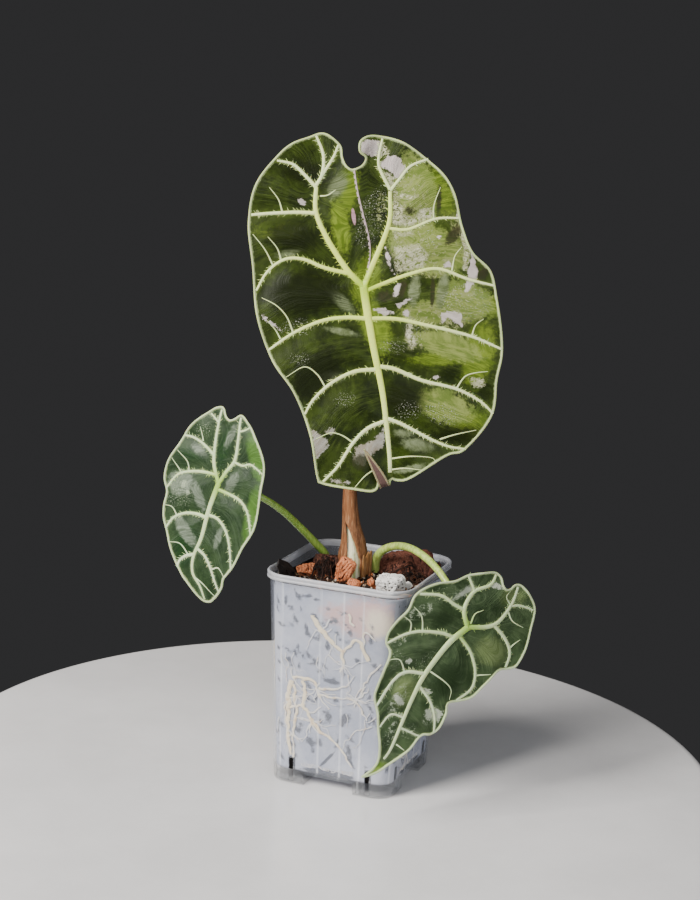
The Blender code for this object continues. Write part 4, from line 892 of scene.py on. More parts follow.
# %% Underside material
def leaf_underside(name, base, beside_veins):
    """Matt underside whose colour changes towards the veins."""
    material, tree = new_material(name, IOR=1.4, Specular_IOR_Level=0.3)
    drawn = value_of(tree, "drawn", "Vector")
    cloud, fine = grain_noises(tree, 1, 0.25, 1.5, in_mm=drawn)
    near = add(tree, "Math MULTIPLY_ADD", [cloud, 4, value_of(tree, "vein_gap")])
    cells = add(tree, "TexVoronoi", {"Vector": drawn, "Scale": 0.9}, feature="DISTANCE_TO_EDGE")
    colour = lay_colours(tree, base, (near, 6, 2, 1, beside_veins), (cells, 0.12, 0, 0.3, "#2f2a20"))
    return finish(material, colour, fine, 0.55, 0.75, 0.5, 0.25, cells)


main_under = leaf_underside("purple_brown_underside", "#5d4640", "#7f6a58")
side_under = leaf_underside("grey_green_underside", "#6f7d64", "#8d9a72")
print("undersides:", main_under.name, side_under.name)

# %% The three blades
def make_blade(name, leaf, marks, cell, face, underside):
    """A closed blade with its face, underside and rim, and the values its materials read."""
    flat, triangles = fill_drawing(leaf, cell)
    count = len(flat)
    rim = rim_edges(triangles)
    verts = np.vstack([lay_on_leaf(leaf, flat, np.full(count, lift)) for lift in (0, -BLADE_THICK)])
    faces = triangles + [tuple(i + count for i in reversed(t)) for t in triangles]
    faces += [(b, a, a + count, b + count) for a, b in rim]
    slots = [0] * len(triangles) + [1] * len(triangles) + [0] * len(rim)
    piece = mesh_piece(f"{name}_blade_skin", verts, faces, [face, underside], slots)
    for kind, numbers in blade_values(leaf, marks, flat).items():
        set_values(piece.data, kind, np.tile(numbers, 2))
    set_values(piece.data, "drawn", np.insert(np.tile(flat, (2, 1)), 2, 0, axis=1))
    return hand_over(piece, "main_leaf" if name == "main_leaf" else "side_leaf", f"{name}_blade")


make_blade("main_leaf", MAIN_LEAF, MAIN_MARKS, 0.95, main_face, main_under)
make_blade("left_leaf", LEFT_LEAF, LEFT_MARKS, 0.8, left_face, side_under)
make_blade("right_leaf", RIGHT_LEAF, RIGHT_MARKS, 0.8, right_face, side_under)

# %% [markdown]
# ## The veins
# The pale veins are ribs that stand out of the leaf on both sides. They follow drawn lines, so they are a
# job for Geometry Nodes: each line, whose points know how wide the vein is there, becomes a cord, and small
# spines are placed along the side veins, where their white runs out into the green. The net is made flat, in
# the drawing's millimetres, and is then laid on the bent leaf.

# %% Drawn lines of one leaf
THIN_VEIN = 0.4
JOINT_VEIN = 2.9
RADIUS_SHARE = 0.41
VEIN_STEP = 0.8
MARGIN_RADIUS = 0.5
MARGIN_INSET = 0.32
SEAM_RADIUS = 0.5
MAIN_THIN_VEINS = [
    [(-39, 33), (-41, 38.5), (-45.5, 44)], [(-38.5, 11), (-40.5, 16), (-45, 21)],
    [(-42, 8), (-46, 15), (-52, 22)], [(-31.5, -22), (-34.5, -15.5), (-39.5, -10.5), (-46.5, -7)],
    [(-37, -25.5), (-39.5, -21.5), (-43.5, -17.5)],
    [(-15.5, -46.5), (-19.5, -41), (-25.5, -38), (-33.5, -43)],
    [(-1.5, -71.5), (-6.5, -68.5), (-12, -67.5), (-18.5, -70.5)], [(50.5, -20), (52, -15), (55.5, -12)],
    [(44.5, -44.5), (48, -39), (52.5, -37), (58.5, -36)], [(38, -68), (45, -65.5), (54.5, -63)],
    [(40, 9.5), (41, 16), (44, 20.5)], [(-22, 41), (-18.5, 41.5), (-15, 44)],
    [(15.5, -78), (24.5, -76.5), (34, -76.5), (36.5, -78)], [(16, -83), (22.5, -82), (30.5, -82.5)],
    [(11, -82), (5, -86), (0, -92)], [(30.5, 33), (30.5, 39.5), (33, 47.5)]]
LEFT_THIN_VEINS = [
    [(-16.5, 3.5), (-18, 8.5), (-24, 13)], [(-19.5, -18), (-22.5, -14), (-26.5, -13.5)],
    [(-11, -35), (-15.5, -30.5), (-22, -30.5)], [(2.5, -40), (6, -39), (9.5, -43)],
    [(-20, 2), (-23, 5.5), (-26.5, 9)], [(-11.5, 19), (-12.5, 22), (-14, 25.5)],
    [(-6.5, -45), (-1.5, -47.5), (5, -52.5)]]
RIGHT_THIN_VEINS = [
    [(-18.5, -18.5), (-11.5, -24), (-8.5, -28), (-9, -32.5)], [(-28, 0), (-28, 4.5), (-32, 8)],
    [(-22, 0), (-23, 7), (-26.5, 11.5)], [(-30.5, -18), (-33.5, -12), (-38.5, -11.5)],
    [(1.5, 1.5), (3.5, 6), (7.5, 7.5)], [(21, 6), (23, 1), (28.5, -2.5)], [(22, 9), (20, 12.5), (22.5, 15)],
    [(-34, -51), (-30.5, -54)], [(4, -22.5), (7.5, -22.5), (11.5, -22.5)],
    [(22, -11.5), (24.5, -9.5), (27, -8)]]


def vein_lines(leaf, thin_veins):
    """Each drawn line with its radius along it and its kind.

    Kinds: 0 midrib, 1 vein from the joint, 2 side vein, 3 thin vein, 4 margin, 5 seam.
    """
    rows = []
    for number, (knots, start_width, end_width) in enumerate(leaf["veins"]):
        line = smooth_line(knots, VEIN_STEP)[:-1]
        kind = 0 if number == 0 else 1 if start_width > JOINT_VEIN else 2
        rows.append((line, np.linspace(start_width, end_width, len(line)) * RADIUS_SHARE, kind))
    for knots in thin_veins:
        line = smooth_line(knots, VEIN_STEP)
        rows.append((line, THIN_VEIN * np.linspace(1.1, 0.35, len(line)), 3))
    if "seam" in leaf:
        line = smooth_line(leaf["seam"], VEIN_STEP)
        rows.append((line, np.full(len(line), SEAM_RADIUS), 5))
    outline = drawn_outline(leaf, 0.9)
    inner = outline + side_vectors(outline) * MARGIN_INSET
    rows.append((closed_loop(inner), np.full(len(inner) + 1, MARGIN_RADIUS), 4))
    return rows


def bare_lines(name, rows):
    """A mesh of bare edges with each point's radius and kind; a closed line ends where it starts."""
    verts, edges, radii, kinds = [], [], [], []
    for line, radius, kind in rows:
        closed = np.allclose(line[0], line[-1])
        first, kept = len(verts), len(line) - closed
        verts += [(*point, 0.0)[:3] for point in line[:kept]]
        edges += [(first + i, first + (i + 1) % kept) for i in range(kept - 1 + closed)]
        radii += list(radius[:kept])
        kinds += [kind] * kept
    mesh = bpy.data.meshes.new(name)
    mesh.from_pydata(verts, edges, [])
    set_values(mesh, "radius_mm", radii)
    set_values(mesh, "kind", kinds)
    return new_object(name, mesh)


print("main leaf lines:", len(vein_lines(MAIN_LEAF, MAIN_THIN_VEINS)))

# %% [markdown]
# The tree below has two branches. The first sweeps a small circle along every line, scaled by the radius
# that each point carries; roots and fibres will need it too. The second spaces points along the side veins
# alone, and turns a five sided cone of its own size outwards and a little forwards at each.

# %% The vein tree
SPINE_SPACING = 0.42
SPINE_LENGTH = 2.0
SPINE_RADIUS = 0.2
SPINE_LEAN = 0.6
# The share of a vein that has spines, and the share of its radius from which they stand out.
SPINED_SHARE = 0.93
SPINE_START = 0.75


def new_tree(name, **sizes):
    """A Geometry Nodes tree with named inputs, those inputs' sockets, and a function that ends it."""
    tree = bpy.data.node_groups.new(name, "GeometryNodeTree")
    tree.interface.new_socket("Geometry", in_out="INPUT", socket_type="NodeSocketGeometry")
    for label, value in sizes.items():
        kind = "NodeSocketInt" if isinstance(value, int) else "NodeSocketFloat"
        socket = tree.interface.new_socket(label, in_out="INPUT", socket_type=kind)
        socket.default_value = value
    tree.interface.new_socket("Material", in_out="INPUT", socket_type="NodeSocketMaterial")
    tree.interface.new_socket("Geometry", in_out="OUTPUT", socket_type="NodeSocketGeometry")
    start = tree.nodes.new("NodeGroupInput").outputs

    def end_with(*parts):
        together = tree.nodes.new("GeometryNodeJoinGeometry")
        for part in parts:
            tree.links.new(part, together.inputs[0])
        real = add(tree, "RealizeInstances", [together.outputs[0]])
        done = add(tree, "SetMaterial", {"Geometry": real, "Material": start["Material"]})
        tree.links.new(done, tree.nodes.new("NodeGroupOutput").inputs[0])
        return tree

    return tree, start, end_with


def run_tree(piece, tree, **values):
    """Run a tree on a piece, its inputs set by identifier, and turn the result into plain mesh."""
    modifier = piece.modifiers.new(tree.name, "NODES")
    modifier.node_group = tree
    for item in tree.interface.items_tree:
        if item.in_out == "INPUT" and item.name in values:
            modifier[item.identifier] = values[item.name]
    return apply_modifiers(piece)


def swept_cords(tree, start):
    """Curves of the mesh's lines, their radius, and the cords swept along them."""
    lines = add(tree, "MeshToCurve", [start["Geometry"]])
    radius = add(tree, "InputNamedAttribute", {"Name": "radius_mm"}, data_type="FLOAT")
    circle = add(tree, "CurvePrimitiveCircle", {"Resolution": start["Sides"], "Radius": 1})
    cords = add(tree, "CurveToMesh", [lines, circle, radius, True])
    return lines, radius, cords


def random_number(tree, low, high, seed, step):
    """A random number a point, with another step on the seed for each use."""
    own_seed = add(tree, "Math ADD", [seed, float(step)])
    return add(tree, "RandomValue", {2: low, 3: high, "Seed": own_seed}, 1, data_type="FLOAT")


def vein_tree():
    tree, start, end_with = new_tree("veins_with_spines", Sides=10, Spacing=SPINE_SPACING,
                                     Length=SPINE_LENGTH, Seed=4)
    lines, radius, cords = swept_cords(tree, start)

    # Spines: only on the veins from the joint and the side veins, whose kinds are 1 and 2.
    kind = add(tree, "InputNamedAttribute", {"Name": "kind"}, data_type="FLOAT")
    is_side = add(tree, "Math COMPARE", [kind, 1.5, 0.6])
    is_other = add(tree, "BooleanMath NOT", [is_side])
    spined = add(tree, "DeleteGeometry", [lines, is_other], domain="CURVE")
    spined = add(tree, "TrimCurve", {"Curve": spined, "End": SPINED_SHARE})
    spots = add(tree, "CurveToPoints", {0: spined, "Length": start["Spacing"]}, None, mode="LENGTH").outputs
    coin = random_number(tree, -1, 1, start["Seed"], 0)
    hand = add(tree, "Math SIGN", [coin])
    outward = add(tree, "VectorMath CROSS_PRODUCT", [(0, 0, 1), spots["Tangent"]])
    outward = add(tree, "VectorMath SCALE", {0: outward, "Scale": hand})
    lean = random_number(tree, 0.1, 2 * SPINE_LEAN, start["Seed"], 11)
    forward = add(tree, "VectorMath SCALE", {0: spots["Tangent"], "Scale": lean})
    aim = add(tree, "VectorMath ADD", [outward, forward])
    turn = add(tree, "AlignRotationToVector", {"Vector": aim}, axis="Z")
    step_out = add(tree, "Math MULTIPLY", [radius, SPINE_START])
    offset = add(tree, "VectorMath SCALE", {0: outward, "Scale": step_out})
    spots = add(tree, "SetPosition", {"Geometry": spots["Points"], "Offset": offset})
    cone = add(tree, "MeshCone", {"Vertices": 5, "Radius Bottom": SPINE_RADIUS,
                                  "Depth": start["Length"]}, "Mesh")
    luck = random_number(tree, 0, 1, start["Seed"], 23)
    size = add(tree, "Math POWER", [luck, 1.8])
    size = add(tree, "Math MULTIPLY_ADD", [size, 0.9, 0.3])
    spines = add(tree, "InstanceOnPoints", {0: spots, "Instance": cone, "Rotation": turn, "Scale": size})
    return end_with(cords, spines)


veins_with_spines = vein_tree()
print("vein tree:", len(veins_with_spines.nodes), "nodes")

# %% [markdown]
# A vein is a pale, slightly translucent cord under the same wax as the leaf. It is yellow green round the
# joint, where the sap comes in, and nearly white further out. The margin is a little greener, and the seam
# between the two lobes of the main leaf is lilac.

# %% Vein material
def vein_skin(name, joint, near, far, margin, under):
    """Pale vein tissue, coloured by how far it is from the joint, at the margin and behind, and greener low
    on each cord so its top stays paler, partly its own colour and partly a painted highlight.
    """
    material, tree = new_material(name, IOR=1.42, Coat_Weight=0.04, Coat_Roughness=0.3,
                                  Subsurface_Weight=0.1, Subsurface_Scale=0.8 * MM, Specular_IOR_Level=0.3)
    drawn = value_of(tree, "drawn", "Vector")
    kind, height = value_of(tree, "kind"), value_of(tree, "height")
    from_joint = add(tree, "VectorMath LENGTH", [drawn], "Value")
    away = add(tree, "Math MULTIPLY_ADD", [kind, 16, from_joint])
    spread, = grain_noises(tree, 1, 0.8, in_mm=drawn)
    # Low on each cord the colour turns greener, which leaves the top paler: partly the vein's own colour,
    # partly a painted highlight along it.
    colour = lay_colours(tree, joint, (from_joint, 1, 12, 1, near), (away, 34, 95, 1, far),
                         (kind, 3.4, 3.6, 1, margin), (kind, 4.4, 4.6, 1, "#b497a6"),
                         (height, 0.35, 0.05, 0.4, "#a3b868"), (height, -0.2, -0.5, 1, under),
                         (spread, 0.45, 0.7, 0.3, "#aabb78"))
    return finish(material, colour, spread, 0.34, 0.5, 0.4, 0.2)


main_veins = vein_skin("pale_vein", "#b2cf34", "#dcec68", "#dfe8ae", "#bcc88d", "#8d7f62")
side_veins = vein_skin("pale_bluish_vein", "#a2c458", "#c6d8a0", "#d2dfbe", "#bfcda2", "#a3b183")
print("vein materials:", main_veins.name, side_veins.name)

# %% Laying the veins on the leaves
FACE_RISE = 0.05
FACE_FLATNESS = 0.5
BACK_FLATNESS = 0.4
THIN_DEPTH = 0.09


def make_veins(name, leaf, thin_veins, material, seed):
    """One leaf's veins, margin and spines, made flat and laid on the bent blade."""
    piece = bare_lines(f"{name}_vein_net", vein_lines(leaf, thin_veins))
    mesh = run_tree(piece, veins_with_spines, Seed=seed, Material=material).data
    flat, kinds = get_values(mesh, "position", 3), get_values(mesh, "kind")
    up = flat[:, 2]
    lift = np.where(up > -0.01, FACE_RISE + up * FACE_FLATNESS, -BLADE_THICK + up * BACK_FLATNESS)
    # Thin veins and the seam stay within the blade behind.
    lift = np.where((kinds > 2.5) & (kinds != 4) & (up < 0), -THIN_DEPTH, lift)
    move_to(mesh, lay_on_leaf(leaf, flat[:, :2], lift))
    set_values(mesh, "drawn", flat * (1, 1, 0))
    set_values(mesh, "height", lift)
    return hand_over(piece, "veins", f"{name}_veins")


make_veins("main_leaf", MAIN_LEAF, MAIN_THIN_VEINS, main_veins, 4)
make_veins("left_leaf", LEFT_LEAF, LEFT_THIN_VEINS, side_veins, 9)
make_veins("right_leaf", RIGHT_LEAF, RIGHT_THIN_VEINS, side_veins, 15)

# %% [markdown]
# ## The pot
# A square nursery pot of thin polypropylene, injection moulded: a tapered shell, a stepped lip, four hollow
# feet, and two drain slots near the corners of each side. Rings of points go up the outside, over the lip
# and down the inside, and one loft joins them. The feet and slots are then cut out with booleans, and a
# small bevel rounds every edge as a mould does. Clear feet are seen mostly by their edges, which bend the
# light away and look dark, so the bevel's faces have their own slot.

# %% Sizes of the pot
RIM_HEIGHT = 103.6
RIM_SIDE = 73.4
LIP_HEIGHT = 3.5
LIP_STEP = 1.5
BASE_SIDE = 61.4
BASE_CORNER = 9.0
RIM_CORNER = 12.5
POT_WALL = 0.9
FOOT_WALL = 1.1
FLOOR_TOP = 6.4
FLOOR_THICK = 0.8
FOOT_HEIGHT = FLOOR_TOP - FLOOR_THICK
FOOT_INNER = 12.5
SLOT_WIDTH = 2.4
SLOT_BOTTOM = 1.2
SLOT_TOP = 13.0
SLOT_PLACES = (-19.0, 19.7)
BEVEL_WIDTH = 0.4
WALL_TOP = RIM_HEIGHT - LIP_HEIGHT
WALL_TURNS = {"front": 0, "right": 90, "back": 180, "left": 270}
# How far in from full size, and height: the edge at the base, then the lip and its way down the inside.
FOOT_PROFILE = [(1, 0), (0.4, 0.2), (0, 0.9)]
LIP_PROFILE = [
    (0.4, 100.1), (0, 100.4), (0, 101), (0.45, 101.4), (0.45, 101.9), (0, 102.3), (0, 102.9),
    (0.25, 103.35), (0.7, 103.6), (1.3, 103.4), (1.7, 102.7), (2, 100.5)]


def wall_side(z):
    """Outer side of the pot's tapered wall at a height."""
    return BASE_SIDE + (RIM_SIDE - 2 * LIP_STEP - BASE_SIDE) * z / WALL_TOP


def wall_corner(z):
    return BASE_CORNER + (RIM_CORNER - LIP_STEP - BASE_CORNER) * z / RIM_HEIGHT


def turned(x, y, degrees):
    """A flat place turned about the pot's middle."""
    c, s = math.cos(math.radians(degrees)), math.sin(math.radians(degrees))
    return x * c - y * s, x * s + y * c


def rounded_ring(side, corner, z, side_steps=1, corner_steps=10):
    """Points round a square with rounded corners, anticlockwise from above."""
    reach = side / 2 - corner
    arc = [(reach + corner * math.cos(a), reach + corner * math.sin(a))
           for a in np.radians(np.linspace(0, 90, corner_steps + 1))]
    straight = [(reach * (1 - 2 * step / side_steps), side / 2) for step in range(1, side_steps)]
    return [(*turned(x, y, quarter), z) for quarter in WALL_TURNS.values() for x, y in arc + straight]


def wall_ring(z, inset, side_steps=1):
    """The wall's outline at a height, this far in from its outer face."""
    return rounded_ring(wall_side(z) - 2 * inset, wall_corner(z) - inset, z, side_steps)


print("pot wall:", round(wall_side(0), 1), "mm square below,", round(wall_side(WALL_TOP), 1), "above")

# %% Shell, feet and slots
def loft_piece(name, rings, materials=()):
    faces = ring_faces(len(rings), len(rings[0]))
    return mesh_piece(name, world(np.vstack(rings)), faces, materials, smooth=False)


def box_piece(low, high, turn=0):
    """A box between two corners, turned about the pot's middle."""
    flat = [(low[0], low[1]), (high[0], low[1]), (high[0], high[1]), (low[0], high[1])]
    return loft_piece("box", [[(*turned(x, y, turn), z) for x, y in flat] for z in (low[2], high[2])])


def cut(piece, tools):
    """Cut tools out of a piece, and remove them."""
    for tool in tools:
        modify(piece, "BOOLEAN", operation="DIFFERENCE", solver="EXACT", object=tool)
        bpy.data.objects.remove(tool, do_unlink=True)
    return piece


def foot_pits():
    """The hollows of the four feet: the pot's inside below the floor, less a cross between them."""
    arm = FOOT_INNER + FOOT_WALL
    pits = loft_piece("foot_pits", [wall_ring(z, FOOT_WALL) for z in (FLOOR_THICK, FLOOR_TOP + 1)])
    return cut(pits, [box_piece((-BASE_SIDE, -arm, -5), (BASE_SIDE, arm, 20)),
                      box_piece((-arm, -BASE_SIDE, -5), (arm, BASE_SIDE, 20))])


def make_pot(*plastics):
    rings = [rounded_ring(BASE_SIDE - 2 * inset, BASE_CORNER - inset, z) for inset, z in FOOT_PROFILE]
    rings += [wall_ring(z, 0) for z in np.linspace(8, WALL_TOP - 0.4, 12)]
    rings += [rounded_ring(RIM_SIDE - 2 * inset, RIM_CORNER - inset, z) for inset, z in LIP_PROFILE]
    rings += [wall_ring(z, POT_WALL) for z in np.linspace(WALL_TOP - 0.8, FLOOR_TOP, 12)]
    pot = loft_piece("clear_pot", rings, plastics)
    gap_ends = (-BASE_SIDE, -FOOT_INNER, -5), (BASE_SIDE, FOOT_INNER, FOOT_HEIGHT)
    tools = [foot_pits(), box_piece(*gap_ends), box_piece(*gap_ends, 90)]
    near, half = -BASE_SIDE / 2, SLOT_WIDTH / 2
    tools += [box_piece((place - half, near - 2, SLOT_BOTTOM), (place + half, near + 2, SLOT_TOP), turn)
              for turn in WALL_TURNS.values() for place in SLOT_PLACES]
    cut(pot, tools)
    merge_doubles(pot.data)
    for face in pot.data.polygons:
        height = face.center.z / MM
        face.material_index = 1 if height < FOOT_HEIGHT else 2 if height > WALL_TOP else 0
        face.use_smooth = True
    modify(pot, "BEVEL", width=BEVEL_WIDTH * MM, segments=3, limit_method="ANGLE",
           angle_limit=math.radians(50), harden_normals=True, material=3)
    return hand_over(pot, "clear_plastic", "pot")


print("feet stand", FOOT_HEIGHT, "mm high")

# %% [markdown]
# The plastic is natural polypropylene, which is milky rather than glass clear, and fogged on the inside. A
# plain see-through value keeps it simple for any viewer that loads the model: the wall has two faces, so
# each is much less than half solid. Upright ribs from the mould, each lightened along its line as a painted
# highlight, and lines of droplets show in the wall. It's clearer in the feet, where nothing damp lies behind
# it, and their darker grey is painted shade of the hollow under the pot.

# %% Milky plastic
# Places of the mould's ribs along each wall, where a painted highlight lightens the plastic.
MOULD_RIBS_AND_HIGHLIGHTS = (-25.6, -6, 5.2, 15)
DROPLET_LEVELS = (3.2, 8.3)


def milky_plastic(name, low, high, alpha):
    """Moulded polypropylene: two milky tints, mould ribs lightened by a painted highlight, and droplets of
    fog.
    """
    material, tree = new_material(name, IOR=1.49, Alpha=alpha, Specular_IOR_Level=0.5)
    place = add(tree, "TexCoord", out="Object")
    centre = add(tree, "VectorMath SUBTRACT", [place, tuple(POT_AT * MM)])
    in_mm = add(tree, "VectorMath SCALE", {0: centre, "Scale": 1 / MM})
    x, y, z = add(tree, "SeparateXYZ", [in_mm], None).outputs
    far_x, far_y = (add(tree, "Math ABSOLUTE", [axis]) for axis in (x, y))
    on_side = add(tree, "Math GREATER_THAN", [far_x, far_y])
    along = add(tree, "Mix", {0: on_side, 2: x, 3: y}, data_type="FLOAT")

    def near_lines(value, lines, reach):
        """One where a value is near any of the lines, else nought."""
        near = 0.0
        for line in lines:
            here = add(tree, "Math COMPARE", [value, line, reach])
            near = add(tree, "Math MAXIMUM", [near, here])
        return near

    # The mould's upright ribs: a bump, and a painted highlight that lightens the plastic along each.
    marks = near_lines(along, MOULD_RIBS_AND_HIGHLIGHTS, 0.35)
    wet = near_lines(z, DROPLET_LEVELS, 0.7)
    cloud, speck = grain_noises(tree, 1, 0.05, 0.3, in_mm=in_mm)
    rib_highlight = add(tree, "Math MULTIPLY", [marks, cloud])
    beads = add(tree, "TexVoronoi", {"Vector": in_mm, "Scale": 1.1})
    bead = add(tree, "MapRange", {"Value": beads, "From Min": 0.42, "From Max": 0.2})
    bead = add(tree, "Math MULTIPLY", [bead, wet])
    tint = lay_colours(tree, low, (cloud, 0.35, 0.65, 1, high), (speck, 0.62, 0.75, 0.5, "#dfe3ea"),
                       (rib_highlight, 0.3, 0.5, 0.7, "#f2f4f7"), (bead, 0.1, 0.6, 1, "#f6f7f9"))
    return finish(material, tint, cloud, 0.2, 0.32, 0.3, 0.15, marks)


make_pot(milky_plastic("milky_polypropylene", "#b8bfd0", "#d0d4df", 0.11),
         # The clear feet's darker grey is painted shade of the hollow under the pot, seen through them.
         milky_plastic("clear_polypropylene", "#707275", "#95979a", 0.2),
         milky_plastic("thick_polypropylene", "#dcdfe8", "#f0f1f4", 0.4),
         milky_plastic("polypropylene_edge", "#45474a", "#7d7f82", 0.7))

# %% [markdown]
# ## The stems
# A leaf hangs on a petiole, a smooth round stalk. Two are green and thin. The main one is wrapped at its
# foot in a brown, woody sheath that has split open at the front, so the pale shoot inside shows. A petiole
# is a tube whose radius changes along a smooth line, so the radius is just a fourth coordinate of the line.

# %% Where the petioles run
# Points and radii from the mix up to the leaf's joint.
MAIN_PETIOLE = [
    (-5.2, 3.7, 90.5, 7), (-5.1, 3.4, 96.5, 7.8), (-5.3, 2.7, 106, 7.4), (-5.4, 2.1, 113.5, 6),
    (-6.4, 0.7, 124, 4.3), (-7, -0.6, 138, 3.4), (-7.6, 0.2, 163, 3.1), (-7.9, 1.2, 182, 2.9),
    (-7.8, 2.3, 201, 2.7), (-6.6, 1.9, 219, 2.5), (-4.8, -0.3, 231, 2.4)]
LEFT_PETIOLE = [
    (-15.1, 8.5, 90.5, 2), (-17.6, 6.5, 98, 2), (-20.5, 4.1, 105, 1.9), (-23.8, 0, 110.5, 1.9),
    (-29.4, -6.1, 118.8, 1.8), (-35.8, -13, 127.5, 1.7), (-43.7, -19.1, 134.2, 1.6),
    (-54.1, -22.9, 138.5, 1.5)]
RIGHT_PETIOLE = [
    (3, 10.9, 90.5, 2.1), (3.6, 9.9, 98.6, 2.1), (4.5, 8.1, 104.2, 2.1), (8, 6.3, 109.6, 2),
    (15.7, 2.8, 114, 1.9), (24.6, -1.2, 115.3, 1.8), (34.3, -7.2, 113.8, 1.8), (42.3, -12.6, 110.6, 1.7),
    (49.1, -17.5, 106.1, 1.6), (56.1, -21.2, 98.2, 1.5)]

# A petiole's last two points: how far behind the joint, and the share of its last radius there.
PETIOLE_ENDS = ((5.0, 1), (0.6, 0.95))


def petiole_route(knots, leaf, step):
    """Centre line and radii of a petiole, square to its blade at the end."""
    out, joint, last = np.array(leaf_axes(leaf)[2]), np.array(leaf["joint"]), knots[-1][3]
    ends = [(*(joint - out * back), last * share) for back, share in PETIOLE_ENDS]
    line = smooth_line([*knots, *ends], step)
    return line[:, :3], line[:, 3]


def tube_frames(line):
    """Two side directions at each point of a line, turned as little as can be."""
    along = np.gradient(line, axis=0)
    along /= np.linalg.norm(along, axis=1)[:, None]
    side = np.cross(along[0], (0, 1, 0))
    sides = []
    for direction in along:
        side = side - direction * (side @ direction)
        side /= np.linalg.norm(side)
        sides.append(side)
    return np.array(sides), np.cross(along, sides)


def make_tube(name, line, radii, sides, material, ridges):
    """A closed tube; ridges(angles, share) gives a factor on the radius."""
    angles = np.arange(sides) * 2 * math.pi / sides
    shares = np.linspace(0, 1, len(line))
    verts = []
    for centre, radius, first, second, share in zip(line, radii, *tube_frames(line), shares):
        ring = first * np.cos(angles)[:, None] + second * np.sin(angles)[:, None]
        verts.append(centre + ring * (radius * ridges(angles, share))[:, None])
    piece = mesh_piece(name, world(np.vstack(verts)), ring_faces(len(line), sides), [material])
    merge_doubles(piece.data)
    set_values(piece.data, "share", np.repeat(shares, sides))
    return piece


main_line, main_radii = petiole_route(MAIN_PETIOLE, MAIN_LEAF, 2.0)
print("main petiole:", len(main_line), "rings,", round(float(main_line[-1][2]), 1), "mm up")

# %% [markdown]
# ### Green petioles
# Fresh green skin, smooth and a little waxy, mottled with short dashes along the stalk, and shading to a
# duller tone where it comes out of the mix.

# %% Green petiole material and pieces
def petiole_skin(name, dark, light, foot):
    """Waxy green stalk skin with dashes along it; its foot has another colour."""
    material, tree = new_material(name, IOR=1.42, Coat_Weight=0.2, Coat_Roughness=0.25,
                                  Subsurface_Weight=0.1, Subsurface_Scale=1.0 * MM)
    dashes, = grain_noises(tree, 0.25, 0.9)
    share = value_of(tree, "share")
    colour = lay_colours(tree, dark, (dashes, 0.35, 0.62, 1, light), (share, 0.22, 0.08, 0.7, foot))
    return finish(material, colour, dashes, 0.3, 0.45, 0.25, 0.2)


def soft_grooves(angles, share):
    """A petiole is nearly round, with a few low grooves that fade towards the leaf."""
    return 1 + 0.02 * np.cos(5 * angles + 3 * share) * (1 - share)


for side_name, side_knots, side_leaf, side_tones in (
    ("left_petiole", LEFT_PETIOLE, LEFT_LEAF, ("#6d8c36", "#8fae4c", "#80884a")),
    ("right_petiole", RIGHT_PETIOLE, RIGHT_LEAF, ("#92ac48", "#bccf70", "#a5b45e"))):
    skin = petiole_skin(f"{side_name}_skin", *side_tones)
    route = petiole_route(side_knots, side_leaf, 1.5)
    stalk = make_tube(f"{side_name}_stalk", *route, 28, skin, soft_grooves)
    hand_over(stalk, "green_petiole", side_name)

# %% [markdown]
# ### The brown sheath and the shoot in it
# The sheath is a dry, woody skin. It's built as an open tube: at each height its ring of points starts at
# the right edge of the split and goes round to the left edge, and the split closes to nothing at its pointed
# top. Solidify gives it its thickness. The shoot is a pale tube inside it.

# %% The split
SHEATH_THICK = 0.7
SPLIT_OUT = np.array((*turned(0, -1, MAIN_LEAF["facing"]), 0))
SPLIT_RIGHT = np.array((*turned(1, 0, MAIN_LEAF["facing"]), 0))
SPLIT_TOP_HEIGHT = 125.5
SPLIT_TOP_X = -2.4
SPLIT_SHOULDER = 106.0
SPLIT_X = (-3.2, 3.6)
SHEATH_COLUMNS = 57
# Depth of each grain of the sheath, how fine it is round the stem, and how fine up it.
SHEATH_GRAINS = ((0.05, 3, 0.06), (0.03, 9, 0.05))
SHOOT_INSET = 1.35


def split_edges(z, radius):
    """Angles of the split's two edges at a height, from straight out."""
    rise = np.clip((z - SPLIT_SHOULDER) / (SPLIT_TOP_HEIGHT - SPLIT_SHOULDER), 0, 1)
    ragged = (0.21 * math.sin(z * 0.9) + 0.15 * math.sin(z * 2.3 + 1)) * (1 - rise)
    places = [x + (SPLIT_TOP_X - x) * rise + ragged * math.copysign(1, x) for x in SPLIT_X]
    return [math.asin(np.clip(place / radius, -0.95, 0.95)) for place in places]


def sheath_grain(angle, z):
    """Share by which the sheath's grain moves its surface out."""
    x, y = math.cos(angle), math.sin(angle)
    return sum(depth * noise.noise(Vector((x * fine, y * fine, z * upwards)))
               for depth, fine, upwards in SHEATH_GRAINS)


